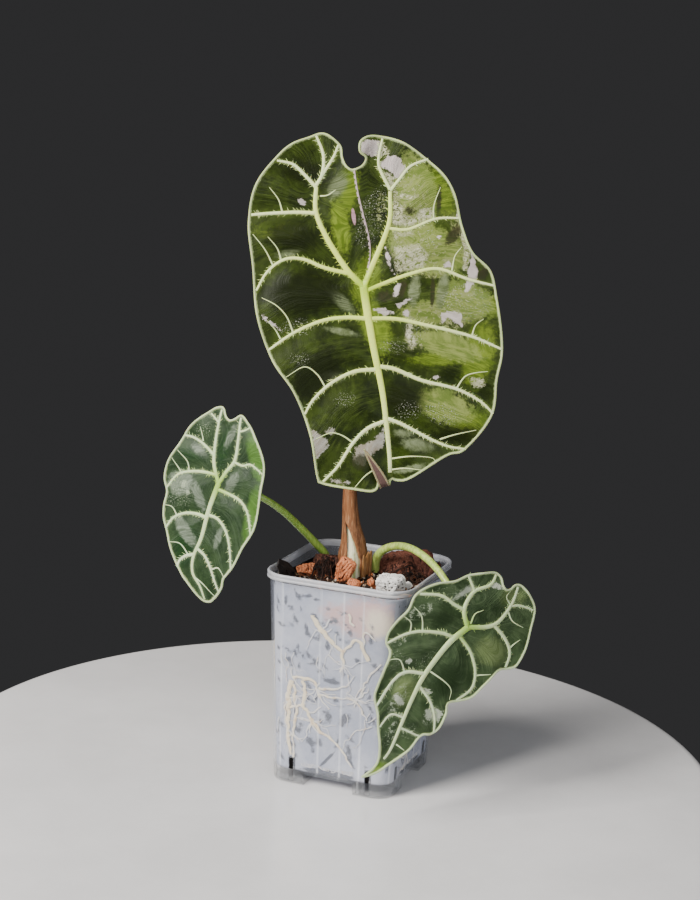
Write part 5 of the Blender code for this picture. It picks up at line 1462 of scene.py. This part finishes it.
def make_sheath(material):
    """The split brown sheath, up to the back of the main leaf."""
    verts = []
    for centre, radius, tangent in zip(main_line, main_radii, np.gradient(main_line, axis=0)):
        left_edge, right_edge = split_edges(centre[2], radius)
        open_by = right_edge - left_edge
        tangent = tangent / np.linalg.norm(tangent)
        side = SPLIT_RIGHT - tangent * (SPLIT_RIGHT @ tangent)
        side /= np.linalg.norm(side)
        ahead = np.cross(side, tangent)
        ahead *= math.copysign(1, ahead @ SPLIT_OUT)
        for turn in np.linspace(0, 1, SHEATH_COLUMNS):
            angle = right_edge + (2 * math.pi - open_by) * turn
            near_edge = math.exp(-(min(turn, 1 - turn) / 0.05) ** 2)
            lift = 0.5 * near_edge - 0.25 if open_by > 0.03 else -0.1
            reach = radius * (1 + sheath_grain(angle, centre[2])) + lift
            verts.append(centre + (side * math.sin(angle) + ahead * math.cos(angle)) * reach)
    top_end = tuple(range(len(verts) - SHEATH_COLUMNS, len(verts) - 1))
    faces = grid_faces(len(main_line), SHEATH_COLUMNS) + [top_end]
    piece = mesh_piece("brown_sheath", world(verts), faces, [material])
    merge_doubles(piece.data)
    modify(piece, "SOLIDIFY", thickness=SHEATH_THICK * MM, offset=-1.0)
    return hand_over(piece, "brown_sheath", "main_petiole")


def shoot_folds(angles, share):
    return 1 + 0.06 * np.cos(3 * angles + 1.0) + 0.025 * np.cos(11 * angles + 8 * share)


def make_shoot(material):
    """The pale shoot inside the split."""
    low = main_line[:, 2] < SPLIT_TOP_HEIGHT + 6
    piece = make_tube("pale_shoot", main_line[low], main_radii[low] - SHOOT_INSET, 48, material, shoot_folds)
    return hand_over(piece, "pale_shoot", "inner_shoot")


print("split is open by", round(math.degrees(np.ptp(split_edges(106, 7.4)))), "degrees at its shoulder")

# %% Sheath and shoot materials
def woody_skin(name, dark, middle, light):
    """Dry sheath: brown, with streaks that run up the stem."""
    material, tree = new_material(name, IOR=1.45, Specular_IOR_Level=0.35)
    broad, fine = grain_noises(tree, 0.06, 0.55, 2.2)
    blotch, = grain_noises(tree, 1, 0.25)
    colour = lay_colours(tree, dark, (broad, 0.35, 0.6, 1, middle), (fine, 0.5, 0.72, 0.75, light),
                         (blotch, 0.58, 0.7, 0.45, "#6a3d1e"))
    rough = add(tree, "Math ADD", [broad, fine])
    return finish(material, colour, fine, 0.42, 0.7, 0.7, 0.5, rough)


def shoot_skin():
    """Tender shoot kept from the light: cream, with green and brown streaks."""
    material, tree = new_material("tender_shoot", IOR=1.4, Subsurface_Weight=0.2,
                                  Subsurface_Scale=1.5 * MM, Coat_Weight=0.15)
    streak, = grain_noises(tree, 0.07, 0.7)
    colour = lay_colours(tree, "#a9b06a", (streak, 0.36, 0.55, 1, "#ece8c6"),
                         (streak, 0.66, 0.74, 0.6, "#b08a55"))
    return finish(material, colour, streak, 0.3, 0.5, 0.4, 0.3)


make_sheath(woody_skin("rust_brown_sheath", "#6a4026", "#94623e", "#c99c74"))
make_shoot(shoot_skin())

# %% [markdown]
# ### The papery strip
# A strip of older sheath has peeled away beside the stem, dry and thin as paper. It's a grid bent round the
# stem's foot, torn at its top, and waved as paper does when it dries.

# %% Papery strip
SOIL_LEVEL = 96.0
STRIP_ARC = (-42.0, 2.0)
STRIP_BOTTOM = 93.5
STRIP_TOP = 110.0
STRIP_RADIUS = 8.65
STRIP_THICK = 0.35
STRIP_GRID = (35, 27)


def make_strip(material):
    verts = []
    for height in np.linspace(0, 1, STRIP_GRID[0]):
        for share in np.linspace(0, 1, STRIP_GRID[1]):
            torn = 1.2 * math.sin(share * 19) + 0.7 * noise.noise(Vector((share * 14, 3, 0)))
            z = STRIP_BOTTOM + (STRIP_TOP - 4.0 * abs(share - 0.6) + torn - STRIP_BOTTOM) * height
            reach = STRIP_RADIUS + 0.25 * math.sin(share * 16 + z * 0.3) + 0.05 * max(0.0, z - SOIL_LEVEL)
            x, y = turned(reach, 0, STRIP_ARC[0] + (STRIP_ARC[1] - STRIP_ARC[0]) * share)
            verts.append((MAIN_PETIOLE[1][0] + x, MAIN_PETIOLE[1][1] + y, z))
    piece = mesh_piece("papery_strip", world(verts), grid_faces(*STRIP_GRID), [material])
    modify(piece, "SOLIDIFY", thickness=STRIP_THICK * MM, offset=0.0)
    return hand_over(piece, "dry_sheath", "papery_sheath")


make_strip(woody_skin("dry_papery_sheath", "#744728", "#a0703f", "#d0b088"))

# %% [markdown]
# ## The potting mix
# The mix is a chunky one of bark, coir fibre and pumice. Its body is a closed lump that fills the pot: rings
# of points spread from the middle of the top to the wall, go down it and close over the floor. Smooth noise
# raises the top in coarse lumps and finer ones, and it climbs a little along the wall.

# %% Body of the mix
SOIL_EDGE = SOIL_LEVEL - 0.3
SOIL_FLOOR = FLOOR_TOP + 0.35
SOIL_HEAP = 1.5
SOIL_HEAP_REACH = 14
# Size, rise and noise layer of the lumps in its top.
SOIL_LUMPS = ((9, 2.6, 0), (2.6, 0.9, 40), (1.2, 0.45, 80))
SOIL_CLIMB = 3.2
SOIL_GAP = 0.65
SOIL_RINGS = 52
SOIL_ROWS = 84
SIDE_STEPS = 44


def soil_height(x, y):
    """Height of the mix's top at a place, heaped a little round the stem."""
    away = math.dist((x, y), MAIN_PETIOLE[1][:2]) / SOIL_HEAP_REACH
    height = SOIL_LEVEL + SOIL_HEAP * math.exp(-away ** 2)
    for size, rise, layer in SOIL_LUMPS:
        height += rise * noise.noise(Vector((x, y, layer)) / size)
    return height


def soil_ring(z):
    return np.array(wall_ring(z, POT_WALL + SOIL_GAP, SIDE_STEPS))


def soil_points():
    """Rings over the top, from the middle out, and then down the wall."""
    top = soil_ring(SOIL_EDGE)
    climb = SOIL_CLIMB * np.clip(0.6 - top[:, 1] / 70, 0, 1)
    verts = []
    for share in np.arange(1, SOIL_RINGS + 1) / SOIL_RINGS:
        for (x, y, _), up in zip(top * share, climb):
            z = SOIL_EDGE + (soil_height(x, y) - SOIL_EDGE) * (1 - share ** 12) + up * share ** 20
            verts.append((x, y, z))
    for share in np.arange(1, SOIL_ROWS + 1) / SOIL_ROWS:
        ring = soil_ring(SOIL_EDGE + (SOIL_FLOOR - SOIL_EDGE) * share)
        ring[:, 2] += climb * (1 - share)
        verts += list(ring)
    return np.array(verts)


print("mix level at the stem:", round(soil_height(-5, 3.5), 1), "mm")

# %% [markdown]
# Through the fogged wall only the nearest crumbs and roots show, as grey shadows and cream lines in a bluish
# haze, so the side of the mix carries that haze as its own colour, and each point stores its distance to
# what shows there. A few shadows, and the pink bark and cream pumice behind the front wall, are listed one
# by one. A seeded generator scatters the rest, thicker to the left as in the photograph.

# %% What shows through the wall
# Ovals on the wall: along it, up it, two half widths and a turn.
FRONT_SHOWS = {
    "shadow": [
        (-18, 94, 2.5, 1.1, -60), (-13, 78, 4.2, 0.8, -70), (0, 54.5, 4.5, 1.3, -5), (7, 37, 3.4, 2.2, 45),
        (-9.5, 22.5, 2.4, 1.8, -10), (9.5, 17, 5, 1, -50), (21.5, 38.5, 2.4, 1, -60),
        (-22, 61.5, 1.6, 1.4, 0), (-1.5, 14.5, 6, 0.8, 50), (-7.5, 45, 2, 0.8, 80),
        (-12.5, 66, 1.8, 1.1, -60)],
    "pink": [(16, 88, 14, 9, 15), (1, 88, 6, 4, 0)],
    "cream": [(22.5, 86.5, 7, 6.5, 0)],
}
SHADOWS_A_WALL = 100


def side_values(verts):
    """Distances of each point of the side to shadows, bark, pumice, drain slots and mould ribs: the slots
    get the dark mix with painted shade, the ribs a painted highlight.
    """
    rng = np.random.default_rng(7)
    values = {kind: np.full(len(verts), FAR_OFF) for kind in (*FRONT_SHOWS, "slot", "mark")}
    for wall, turn in WALL_TURNS.items():
        along, out = turned(verts[:, 0], verts[:, 1], -turn)
        here = np.abs(along) <= 0.5 - out
        flat = np.stack([along, verts[:, 2]], axis=1)[here]
        shown = {kind: shapes if wall == "front" else [] for kind, shapes in FRONT_SHOWS.items()}
        shown["shadow"] = shown["shadow"] + [(0, FLOOR_TOP + 1.5, 13.5, 1.7, 0)] + [
            (29 - 58 * rng.uniform() ** 0.55, rng.uniform(12, 95), *rng.uniform((0.5, 0.35), (2.6, 1.2)),
             rng.uniform(-100, 0)) for _ in range(SHADOWS_A_WALL)]
        for kind, shapes in shown.items():
            values[kind][here] = marked_distance(flat, shapes)
        for kind, places in (("slot", SLOT_PLACES), ("mark", MOULD_RIBS_AND_HIGHLIGHTS)):
            values[kind][here] = np.abs(flat[:, :1] - places).min(axis=1)
        values["slot"][here] = np.maximum(values["slot"][here] - SLOT_WIDTH / 2, flat[:, 1] - SLOT_TOP) - 0.5
    return values


def make_soil(top_material, side_material):
    verts = soil_points()
    size = len(soil_ring(SOIL_EDGE))
    faces = ring_faces(SOIL_RINGS + SOIL_ROWS, size)
    faces[-2] = tuple(range(size))
    slots = np.arange(len(faces)) >= (SOIL_RINGS - 1) * size
    slots[-2] = False
    faces = [tuple(reversed(face)) for face in faces]
    piece = mesh_piece("potting_mix", world(verts), faces, [top_material, side_material], slots)
    for kind, numbers in side_values(verts).items():
        set_values(piece.data, kind, numbers)
    return hand_over(piece, "potting_mix", "potting_soil")


print("walls:", ", ".join(WALL_TURNS))

# %% Materials of the mix
def dark_mix():
    """Damp coir and bark dust: nearly black brown, with rusty crumbs."""
    material, tree = new_material("damp_potting_mix", IOR=1.4, Specular_IOR_Level=0.3)
    crumb, fine = grain_noises(tree, 1, 0.5, 2.4)
    colour = lay_colours(tree, "#120c08", (crumb, 0.45, 0.66, 1, "#3a2216"),
                         (fine, 0.62, 0.72, 0.9, "#74462a"))
    height = add(tree, "Math ADD", [crumb, fine])
    return finish(material, colour, crumb, 0.55, 0.95, 1, 0.8, height)


def fogged_side():
    """The mix through fog: bluish haze, grey shadows of crumbs, pinkish bark behind, dark mix with painted
    shade behind the drain slots, and painted highlights of the mould ribs.
    """
    material, tree = new_material("fogged_mix_side", IOR=1.33, Specular_IOR_Level=0.2)
    haze, torn, fine = grain_noises(tree, 1, 0.05, 0.42, 1.2)
    layers = [(haze, 0.4, 0.6, 1.0, "#b9bbc5"), (fine, 0.55, 0.75, 0.35, "#d0d2da")]
    # The slot layer paints the side nearly black behind each drain slot: the dark mix there, and painted
    # shade in the slot.
    for kind, tint, soft, shake in (("pink", "#cda79f", 4.0, 14.0), ("cream", "#e8d9bf", 3.0, 8.0),
                                    ("shadow", "#474951", 0.9, 5.0), ("slot", "#0a0808", 0.3, 1.6)):
        edge = add(tree, "Math MULTIPLY_ADD", [torn, shake, value_of(tree, kind)])
        layers.append((edge, shake / 2 + soft, shake / 2 - soft, 1.0, tint))
    # Painted highlight of the pot's mould ribs, laid on the side of the mix behind them.
    layers.insert(-1, (value_of(tree, "mark"), 0.8, 0.2, haze, "#f0f1f5"))
    return finish(material, lay_colours(tree, "#a2a7b6", *layers), fine, 0.7, 0.9, 0.3, 0.3, torn)


make_soil(dark_mix(), fogged_side())

# %% [markdown]
# ### Roots against the wall
# The roots that reach the wall press flat against it and run down. The thick ones on the front wall follow
# the photograph. The rest are drawn by a seeded walk, as roots grow: mostly down, turning a little at each
# step, some alone and some in a fan. Each is drawn on its wall as if that were unrolled flat, swept into a
# cord by Geometry Nodes, and then laid on the wall, much flattened. Some lie deeper in the fog, and are
# paler for it.

# %% Root lines
ROOT_SEED = 12
ROOT_STEP = 3.0
WALL_REACH = 27
LOWEST_ROOT = 9.5
FRONT_ROOTS = [
    ([(-10, 86), (-8.5, 82), (-1, 75), (5, 69.5)], 1.2, 0.8), ([(5, 69.5), (6, 64), (4.5, 60.5)], 0.7, 0.4),
    ([(5.5, 70), (11, 76), (14, 76), (18, 68)], 0.7, 0.9),
    ([(21.5, 78), (17, 81.5), (15.5, 79), (16, 72)], 0.4, 0.6), ([(8, 89), (10, 83)], 0.8, 0.6),
    ([(-20, 52), (-21.5, 45), (-21, 36), (-21.5, 27), (-19.5, 14)], 1.1, 0.7),
    ([(-18, 50), (-18.5, 43), (-17, 36), (-18.5, 27), (-18, 13)], 0.7, 0.5),
    ([(-22.5, 46), (-23, 34), (-22, 22)], 0.5, 0.3),
    ([(-19, 53), (-13, 54), (-8, 52), (-6, 46), (-1, 41)], 0.8, 0.4),
    ([(-14.5, 53), (-13, 47), (-14, 41), (-11, 36), (-9, 31.5)], 0.9, 0.8),
    ([(-20, 38), (-15, 40), (-10, 37), (-5, 41)], 0.6, 0.3),
    ([(-9.5, 34), (-5, 29), (0, 26), (5, 22.5), (12, 13.5)], 0.9, 0.4),
    ([(-6, 50), (2, 51), (9, 55), (12, 59)], 0.6, 0.3),
    ([(-6, 47), (0, 46.5), (11, 47), (19, 38.5)], 0.6, 0.4),
    ([(24.5, 67), (19, 60), (15, 50), (12, 44)], 0.6, 0.3)]
# Fans of thin roots: along, up, how many, and the longest.
FRONT_FANS = [(-9, 33, 9, 15), (-6, 49, 9, 14), (6, 63, 6, 9), (-17, 44, 9, 10), (13, 48, 7, 12),
              (-19, 25, 6, 7)]
WALK_ROOTS = {"front": 20, "left": 34, "right": 34, "back": 34}
# How much a walk turns at each step, in degrees, and how strongly it is drawn back to straight down.
WALK_TURN = 20
WALK_DOWN = 0.05
# Short roots in a row above the floor: between which places, how far apart, their length and radius.
FLOOR_ROOTS = (-14, 13, 1.1, 5, 0.24)
# Ranges of length and radius.
THICK_ROOT = ((30, 55), (0.7, 1.1))
THIN_ROOT = ((8, 26), (0.2, 0.45))


def walked_root(rng, start, heading, length, radius):
    """A root that wanders on from a place on a wall, with its radius at start and end."""
    points = [start]
    for _ in range(max(2, int(length / ROOT_STEP))):
        heading += rng.normal(0, WALK_TURN) + (-90 - heading) * WALK_DOWN
        along, up = points[-1] + np.array(turned(ROOT_STEP, 0, heading))
        points.append((float(np.clip(along, -WALL_REACH, WALL_REACH)), max(up, LOWEST_ROOT)))
    return points, radius, radius * 0.4


def wall_roots(wall, rng):
    """Every root on one wall."""
    *row, length, radius = FLOOR_ROOTS
    roots = [walked_root(rng, (along, 11.0), -90, length, radius) for along in np.arange(*row)]
    if wall == "front":
        roots += FRONT_ROOTS
        roots += [walked_root(rng, (x, z), rng.uniform(-230, 50), rng.uniform(0.4, 1) * longest,
                              rng.uniform(0.25, 0.5))
                  for x, z, count, longest in FRONT_FANS for _ in range(count)]
    for number in range(WALK_ROOTS[wall]):
        lengths, radii = THICK_ROOT if number % 4 == 0 and wall != "front" else THIN_ROOT
        start = (rng.uniform(-WALL_REACH, WALL_REACH), rng.uniform(30, 86))
        heading = rng.normal(-90, 40)
        roots.append(walked_root(rng, start, heading, rng.uniform(*lengths), rng.uniform(*radii)))
    return roots


print("front wall roots:", len(wall_roots("front", np.random.default_rng(ROOT_SEED))))

# %% Root tree, laying and material
ROOT_DEPTH = 0.30
# The layer and size of the noise that moves a root along and up its wall, and that changes its radius.
ROOT_SHAKES = ((3, 3), (9, 3), (5, 2))
ROOT_WANDER = 1.1
ROOT_SWELL = 0.45


def cord_tree():
    tree, start, end_with = new_tree("drawn_cords", Sides=8)
    return end_with(swept_cords(tree, start)[2])


drawn_cords = cord_tree()


def on_wall(turn, along, z, inset):
    """Places on a wall, this far in from its outer face; past a corner they follow it round."""
    side = wall_side(z) / 2 - inset
    corner = wall_corner(z) - inset
    past = np.clip(np.abs(along) - (side - corner), 0, corner * 0.98)
    x, y = turned(along, corner - side - np.sqrt(corner ** 2 - past ** 2), turn)
    return np.stack([x, y, z], axis=1)


def root_skin():
    """Fresh roots: cream where thick, nearly white where thin, tanned in patches, hazy where deep."""
    material, tree = new_material("cream_roots", IOR=1.4)
    patch, = grain_noises(tree, 1, 0.35)
    colour = lay_colours(tree, "#e2dfd9", (value_of(tree, "radius_mm"), 0.3, 0.8, 1, "#f3e2bb"),
                         (patch, 0.5, 0.68, 0.6, "#c9a06c"),
                         (value_of(tree, "deep"), 0.2, 0.8, 0.5, "#c3c6d2"))
    return finish(material, colour, patch, 0.5, 0.7, 0.3, 0.1)


def make_roots(material):
    """All roots on the walls, as one piece; the kind of a line is its wall's number plus its depth."""
    rng = np.random.default_rng(ROOT_SEED)
    rows = []
    for number, wall in enumerate(WALL_TURNS):
        for knots, start_radius, end_radius in wall_roots(wall, rng):
            line = smooth_line(knots, 0.7)
            shakes = np.array([[noise.noise(Vector((x, z, layer)) / size) for layer, size in ROOT_SHAKES]
                               for x, z in line])
            radii = np.linspace(start_radius, end_radius, len(line)) * (1 + ROOT_SWELL * shakes[:, 2])
            deep = rng.uniform(0, 0.7 if start_radius < 0.5 else 0.2)
            rows.append((line + ROOT_WANDER * shakes[:, :2], radii, number + deep))
    piece = bare_lines("wall_roots", rows)
    mesh = run_tree(piece, drawn_cords, Material=material).data
    flat, kinds = get_values(mesh, "position", 3), get_values(mesh, "kind") + 0.01
    inset = POT_WALL + ROOT_DEPTH - np.clip(flat[:, 2], -1, 1) * (ROOT_DEPTH - 0.05)
    places = np.zeros_like(flat)
    for number, turn in enumerate(WALL_TURNS.values()):
        chosen = np.floor(kinds) == number
        places[chosen] = on_wall(turn, flat[chosen, 0], flat[chosen, 1], inset[chosen])
    move_to(mesh, world(places))
    set_values(mesh, "deep", kinds % 1)
    return hand_over(piece, "roots", "root_system")


make_roots(root_skin())

# %% [markdown]
# ### Bark, husk and pumice
# The larger pieces on the mix are lumps. Each starts as a ball of fine triangles that's pressed into a box
# and then cut by a few flat planes set at random, as a chipper leaves bark. Its surface is moved in and out
# by its own pattern: bark splits in layers, husk is a mat of fibres, and pumice is a froth of open pits.

# %% Shape of a lump
LUMP_LEVELS = 6
LUMP_PLANES = 10
BOX_POWER = 5
# Place and size in mm, turns about x, y and z in degrees, a seed, and how far the planes cut in.
CHIPS = {
    "bark_chip_left": ((-24.2, -8.3, 98.8), (9.4, 5.6, 9.4), (0, -14, 25), 3, 0.42),
    "bark_chip_front": ((-4.8, -9.1, 101.8), (8.6, 5, 13.2), (4, 24, 18), 8, 0.3),
    "bark_chip_small": ((2.4, -14.5, 98), (6.6, 3.6, 4.4), (0, 22, 30), 5, 0.4),
    "bark_chip_right": ((10.7, -11.9, 98.2), (4.4, 3.6, 6.4), (0, -16, 60), 9, 0.4),
    "husk_chip_left": ((-16.5, -3.1, 99.6), (12.6, 9, 13), (0, 6, 15), 12, 0.3),
    "husk_chip_right": ((16.7, 17.5, 99.2), (27, 13.5, 17), (0, -5, 21), 21, 0.12),
    "husk_chip_corner": ((27, 26.9, 98.2), (7.5, 7, 7), (0, 0, 30), 24, 0.4),
    "bark_strip_left": ((-29, -22.5, 102.2), (2.2, 18, 8), (-30, 0, -6), 31, 0.35),
    "pumice_front": ((20.4, -14.3, 99.4), (14, 10.5, 10.5), (0, 0, 15), 41, 0.2),
    "pumice_small": ((25.4, -3.7, 97.2), (5.5, 4.5, 4), (0, 0, 60), 44, 0.2),
}


def grain_at(place, across, along, shift):
    """Noise at a place in a lump, drawn out upwards when along is less than across."""
    return noise.noise(Vector((place.x * across, place.y * across, place.z * along)) + Vector(shift))


def layered(place, seed):
    """Bark: steps where layers have split away, cracks and fibres."""
    layers = place.z * 0.9 + 1.6 * grain_at(place, 0.35, 0.35, (seed, 0, 0))
    crack = grain_at(place, 0.9, 0.4, (0, 0, seed))
    step = -0.5 * (0.5 - abs(layers - round(layers)))
    return step + 0.5 * grain_at(place, 1.8, 0.5, (0, seed, 0)) - 1.1 * max(0.0, crack - 0.15)


def fibrous(place, seed):
    """Husk: matted fibres that run up it."""
    return 0.75 * grain_at(place, 1.9, 0.3, (seed, 0, 0)) + 0.6 * grain_at(place, 0.45, 0.45, (0, seed, 0))


def pitted(place, seed):
    """Pumice: round open pits of several sizes in a hard froth."""
    depth = 0.4 * grain_at(place, 0.7, 0.7, (0, 0, 0))
    for spacing, deep in ((1.5, 0.6), (0.85, 0.4)):
        distances, _ = noise.voronoi(place / spacing + Vector((seed, 0, 0)))
        depth -= deep * max(0.0, 1 - (distances[0] / 0.4) ** 2)
    return depth


def make_lump(name, material, surface, slot):
    """A lump cut by planes and roughened, with its surface's depth stored."""
    place, size, turns, seed, cut_in = CHIPS[name]
    rng = np.random.default_rng(seed)
    planes = [(Vector(rng.normal(size=3)).normalized(), 0.5 * (1 - cut_in * rng.uniform(0, 1)))
              for _ in range(LUMP_PLANES)]
    bm = bmesh.new()
    bmesh.ops.create_icosphere(bm, subdivisions=LUMP_LEVELS, radius=0.5)
    for vert in bm.verts:
        way = vert.co.normalized()
        reach = 0.5 / (sum(abs(c) ** BOX_POWER for c in way) ** (1 / BOX_POWER))
        reach = min([reach] + [far / max(way @ side, 0.05) for side, far in planes])
        vert.co = Vector([c * reach * scale for c, scale in zip(way, size)])
    bm.normal_update()
    depths = [surface(vert.co, seed) * min(1.0, min(size) / 7) for vert in bm.verts]
    tip = Euler([math.radians(turn) for turn in turns]).to_matrix()
    moved = [Vector(place) + tip @ (vert.co + vert.normal * depth) for vert, depth in zip(bm.verts, depths)]
    faces = [tuple(v.index for v in f.verts) for f in bm.faces]
    bm.free()
    piece = mesh_piece(f"{name}_lump", world(moved), faces, [material])
    set_values(piece.data, "depth", depths)
    return hand_over(piece, slot, name)


print("lump detail:", 20 * 4 ** (LUMP_LEVELS - 1), "triangles")

# %% Materials of the lumps
def lump_skin(name, dark, middle, light, deep, shine, strand):
    """Colour by two noises and by depth: painted shade darkens the crevices and pits."""
    material, tree = new_material(name, IOR=1.45, Specular_IOR_Level=shine)
    broad, fine = grain_noises(tree, strand, 0.4, 2.2)
    colour = lay_colours(tree, dark, (broad, 0.38, 0.6, 1, middle), (fine, 0.5, 0.7, 0.8, light),
                         (value_of(tree, "depth"), -0.15, -0.45, 1, deep))
    height = add(tree, "Math ADD", [broad, fine])
    return finish(material, colour, broad, 0.6, 0.95, 0.8, 0.4, height)


# Each skin's fourth colour is painted shade in its crevices and pits.
LUMP_SKINS = {
    "bark": lump_skin("orange_pine_bark", "#9c532e", "#d08055", "#eab690", "#4d2314", 0.25, 0.5),
    "husk": lump_skin("dark_coconut_husk", "#29160f", "#502d20", "#875a46", "#120806", 0.3, 0.3),
    "pumice": lump_skin("white_pumice", "#d8d5cf", "#ebe9e4", "#f6f5f2", "#57534f", 0.3, 1),
    "bark_strip_left": lump_skin("black_bark", "#0d0a09", "#1d1613", "#3d332d", "#040303", 0.5, 0.3),
    "husk_chip_right": lump_skin("red_brown_husk", "#512c20", "#744434", "#946452", "#2c1610", 0.35, 0.6)}
for chip in CHIPS:
    chip_kind = chip.split("_")[0]
    chip_surface = {"bark": layered, "husk": fibrous, "pumice": pitted}[chip_kind]
    make_lump(chip, LUMP_SKINS.get(chip, LUMP_SKINS[chip_kind]), chip_surface, chip_kind)

# %% [markdown]
# ### Crumbs and fibres
# Between the large pieces lie hundreds of crumbs of bark and dust, and fibres of coir. Geometry Nodes
# scatters the crumbs over the top of the mix. Each is a small ball squeezed to its own shape, and carries
# one random number that its material turns into a colour.

# %% Crumb tree
CRUMBS_PER_CM2 = 26.0
LARGEST_CRUMB = 1.5
CRUMB_SHAKE = 1.8 * MM
CRUMB_TURNS = ((0, 0, 0), (6.28, 6.28, 6.28))
CRUMB_SHAPES = ((0.25, 0.15, 0.12), (1, 0.6, 0.45))
CRUMB_TONES = ("#1a100b", "#3a2116", "#24150e", "#6a3c24", "#a8623c", "#cfc3b0")


def crumb_tree():
    tree, start, end_with = new_tree("scattered_crumbs", Density=CRUMBS_PER_CM2 / 0.0001,
                                     Largest=LARGEST_CRUMB * MM, Seed=3)
    spots = add(tree, "DistributePointsOnFaces",
                {0: start["Geometry"], "Density": start["Density"], "Seed": start["Seed"]}, "Points")
    ball = add(tree, "MeshIcoSphere", {"Radius": start["Largest"], "Subdivisions": 2}, "Mesh")
    shake = add(tree, "TexNoise", {"Scale": 900, "Detail": 1}, "Color")
    shake = add(tree, "VectorMath MULTIPLY_ADD", [shake, (CRUMB_SHAKE,) * 3, (-CRUMB_SHAKE / 2,) * 3])
    crumb = add(tree, "SetPosition", {"Geometry": ball, "Offset": shake})
    turn, size = (add(tree, "RandomValue", {0: low, 1: high, "Seed": start["Seed"]},
                      data_type="FLOAT_VECTOR") for low, high in (CRUMB_TURNS, CRUMB_SHAPES))
    crumbs = add(tree, "InstanceOnPoints", {0: spots, "Instance": crumb, "Rotation": turn, "Scale": size})
    tone = random_number(tree, 0, 1, start["Seed"], 74)
    toned = add(tree, "StoreNamedAttribute", {"Geometry": crumbs, "Name": "kind", "Value": tone},
                data_type="FLOAT", domain="INSTANCE")
    return end_with(toned)


def top_patch():
    """A loose copy of the mix's top, for crumbs to be scattered on, clear of the wall."""
    ring = soil_ring(SOIL_LEVEL)
    verts = [(x, y, soil_height(x, y)) for share in np.linspace(0.02, 0.95, 27) for x, y, _ in ring * share]
    return mesh_piece("mix_crumbs", world(verts), ring_faces(27, len(ring), capped=False), [])


def crumb_skin(name, tones, rough):
    """Small pieces whose random number picks between several colours."""
    material, tree = new_material(name, IOR=1.4, Specular_IOR_Level=0.3)
    tone = value_of(tree, "kind")
    speck, = grain_noises(tree, 1, 2.5)
    steps = [(tone, n / len(tones), n / len(tones) + 0.05, 1.0, tones[n]) for n in range(1, len(tones))]
    colour = lay_colours(tree, tones[0], *steps, (speck, 0.5, 0.3, 0.5, "#0c0806"))
    return finish(material, colour, speck, rough - 0.15, rough, 0.4, 0.2)


crumbs_piece = top_patch()
run_tree(crumbs_piece, crumb_tree(), Material=crumb_skin("mixed_crumbs", CRUMB_TONES, 0.9))
hand_over(crumbs_piece, "potting_mix")

# %% [markdown]
# Coir fibres are thin curved hairs. Each is a short line that starts on the mix, rises a little and comes
# down again, drawn with a seeded generator and swept by the same tree as the roots. They lie everywhere,
# stand thickest round the husk, and stick up black and long at the left corner.

# %% Coir fibres
# Middle, spread, number, longest, greatest rise, how high the pieces under them lift them, and palest tone.
FIBRE_GROUPS = [
    (0, 0, 30, 260, 13, 1.6, 0, 1), (-16.5, -5, 5.5, 160, 8, 2.5, 8, 0.45),
    (-28, -24, 4.5, 34, 15, 4.5, 3, 0.2), (24, 9, 8, 110, 9, 3, 2, 0.6), (17, 12, 9, 50, 9, 2, 7, 0.6)]


def fibre_points(rng, group):
    """A fibre that starts in its group, curls, rises and comes down."""
    middle_x, middle_y, spread, _, longest, rise, lifted, _ = group
    x, y = rng.uniform(-spread, spread, 2) + (middle_x, middle_y)
    heading, turn = rng.uniform(0, 2 * math.pi), rng.normal(0, 0.25)
    step, lift = rng.uniform(3, longest) / 5, rng.uniform(0.2, rise)
    knots = []
    for share in np.linspace(0, 1, 6):
        away = math.dist((x, y), (middle_x, middle_y)) / (spread * 1.2)
        z = soil_height(x, y) + lifted * max(0, 1 - away ** 2) + lift * math.sin(math.pi * share)
        knots.append((*np.clip((x, y), -31, 31), z + rng.normal(0, 0.15)))
        x, y = x + step * math.cos(heading), y + step * math.sin(heading)
        heading += turn + rng.normal(0, 0.15)
    return knots


def make_fibres(material):
    rng = np.random.default_rng(5)
    rows = []
    for group in FIBRE_GROUPS:
        for _ in range(group[3]):
            line = world(smooth_line(fibre_points(rng, group), 1.0))
            rows.append((line, np.full(len(line), rng.uniform(0.08, 0.24) * MM), rng.uniform(0, group[7])))
    piece = bare_lines("coir_fibres", rows)
    run_tree(piece, drawn_cords, Sides=4, Material=material)
    return hand_over(piece, "potting_mix")


make_fibres(crumb_skin("coir_fibre", ("#120c09", "#2a1912", "#4c2f20", "#7d5a3e", "#c2a27c"), 0.85))
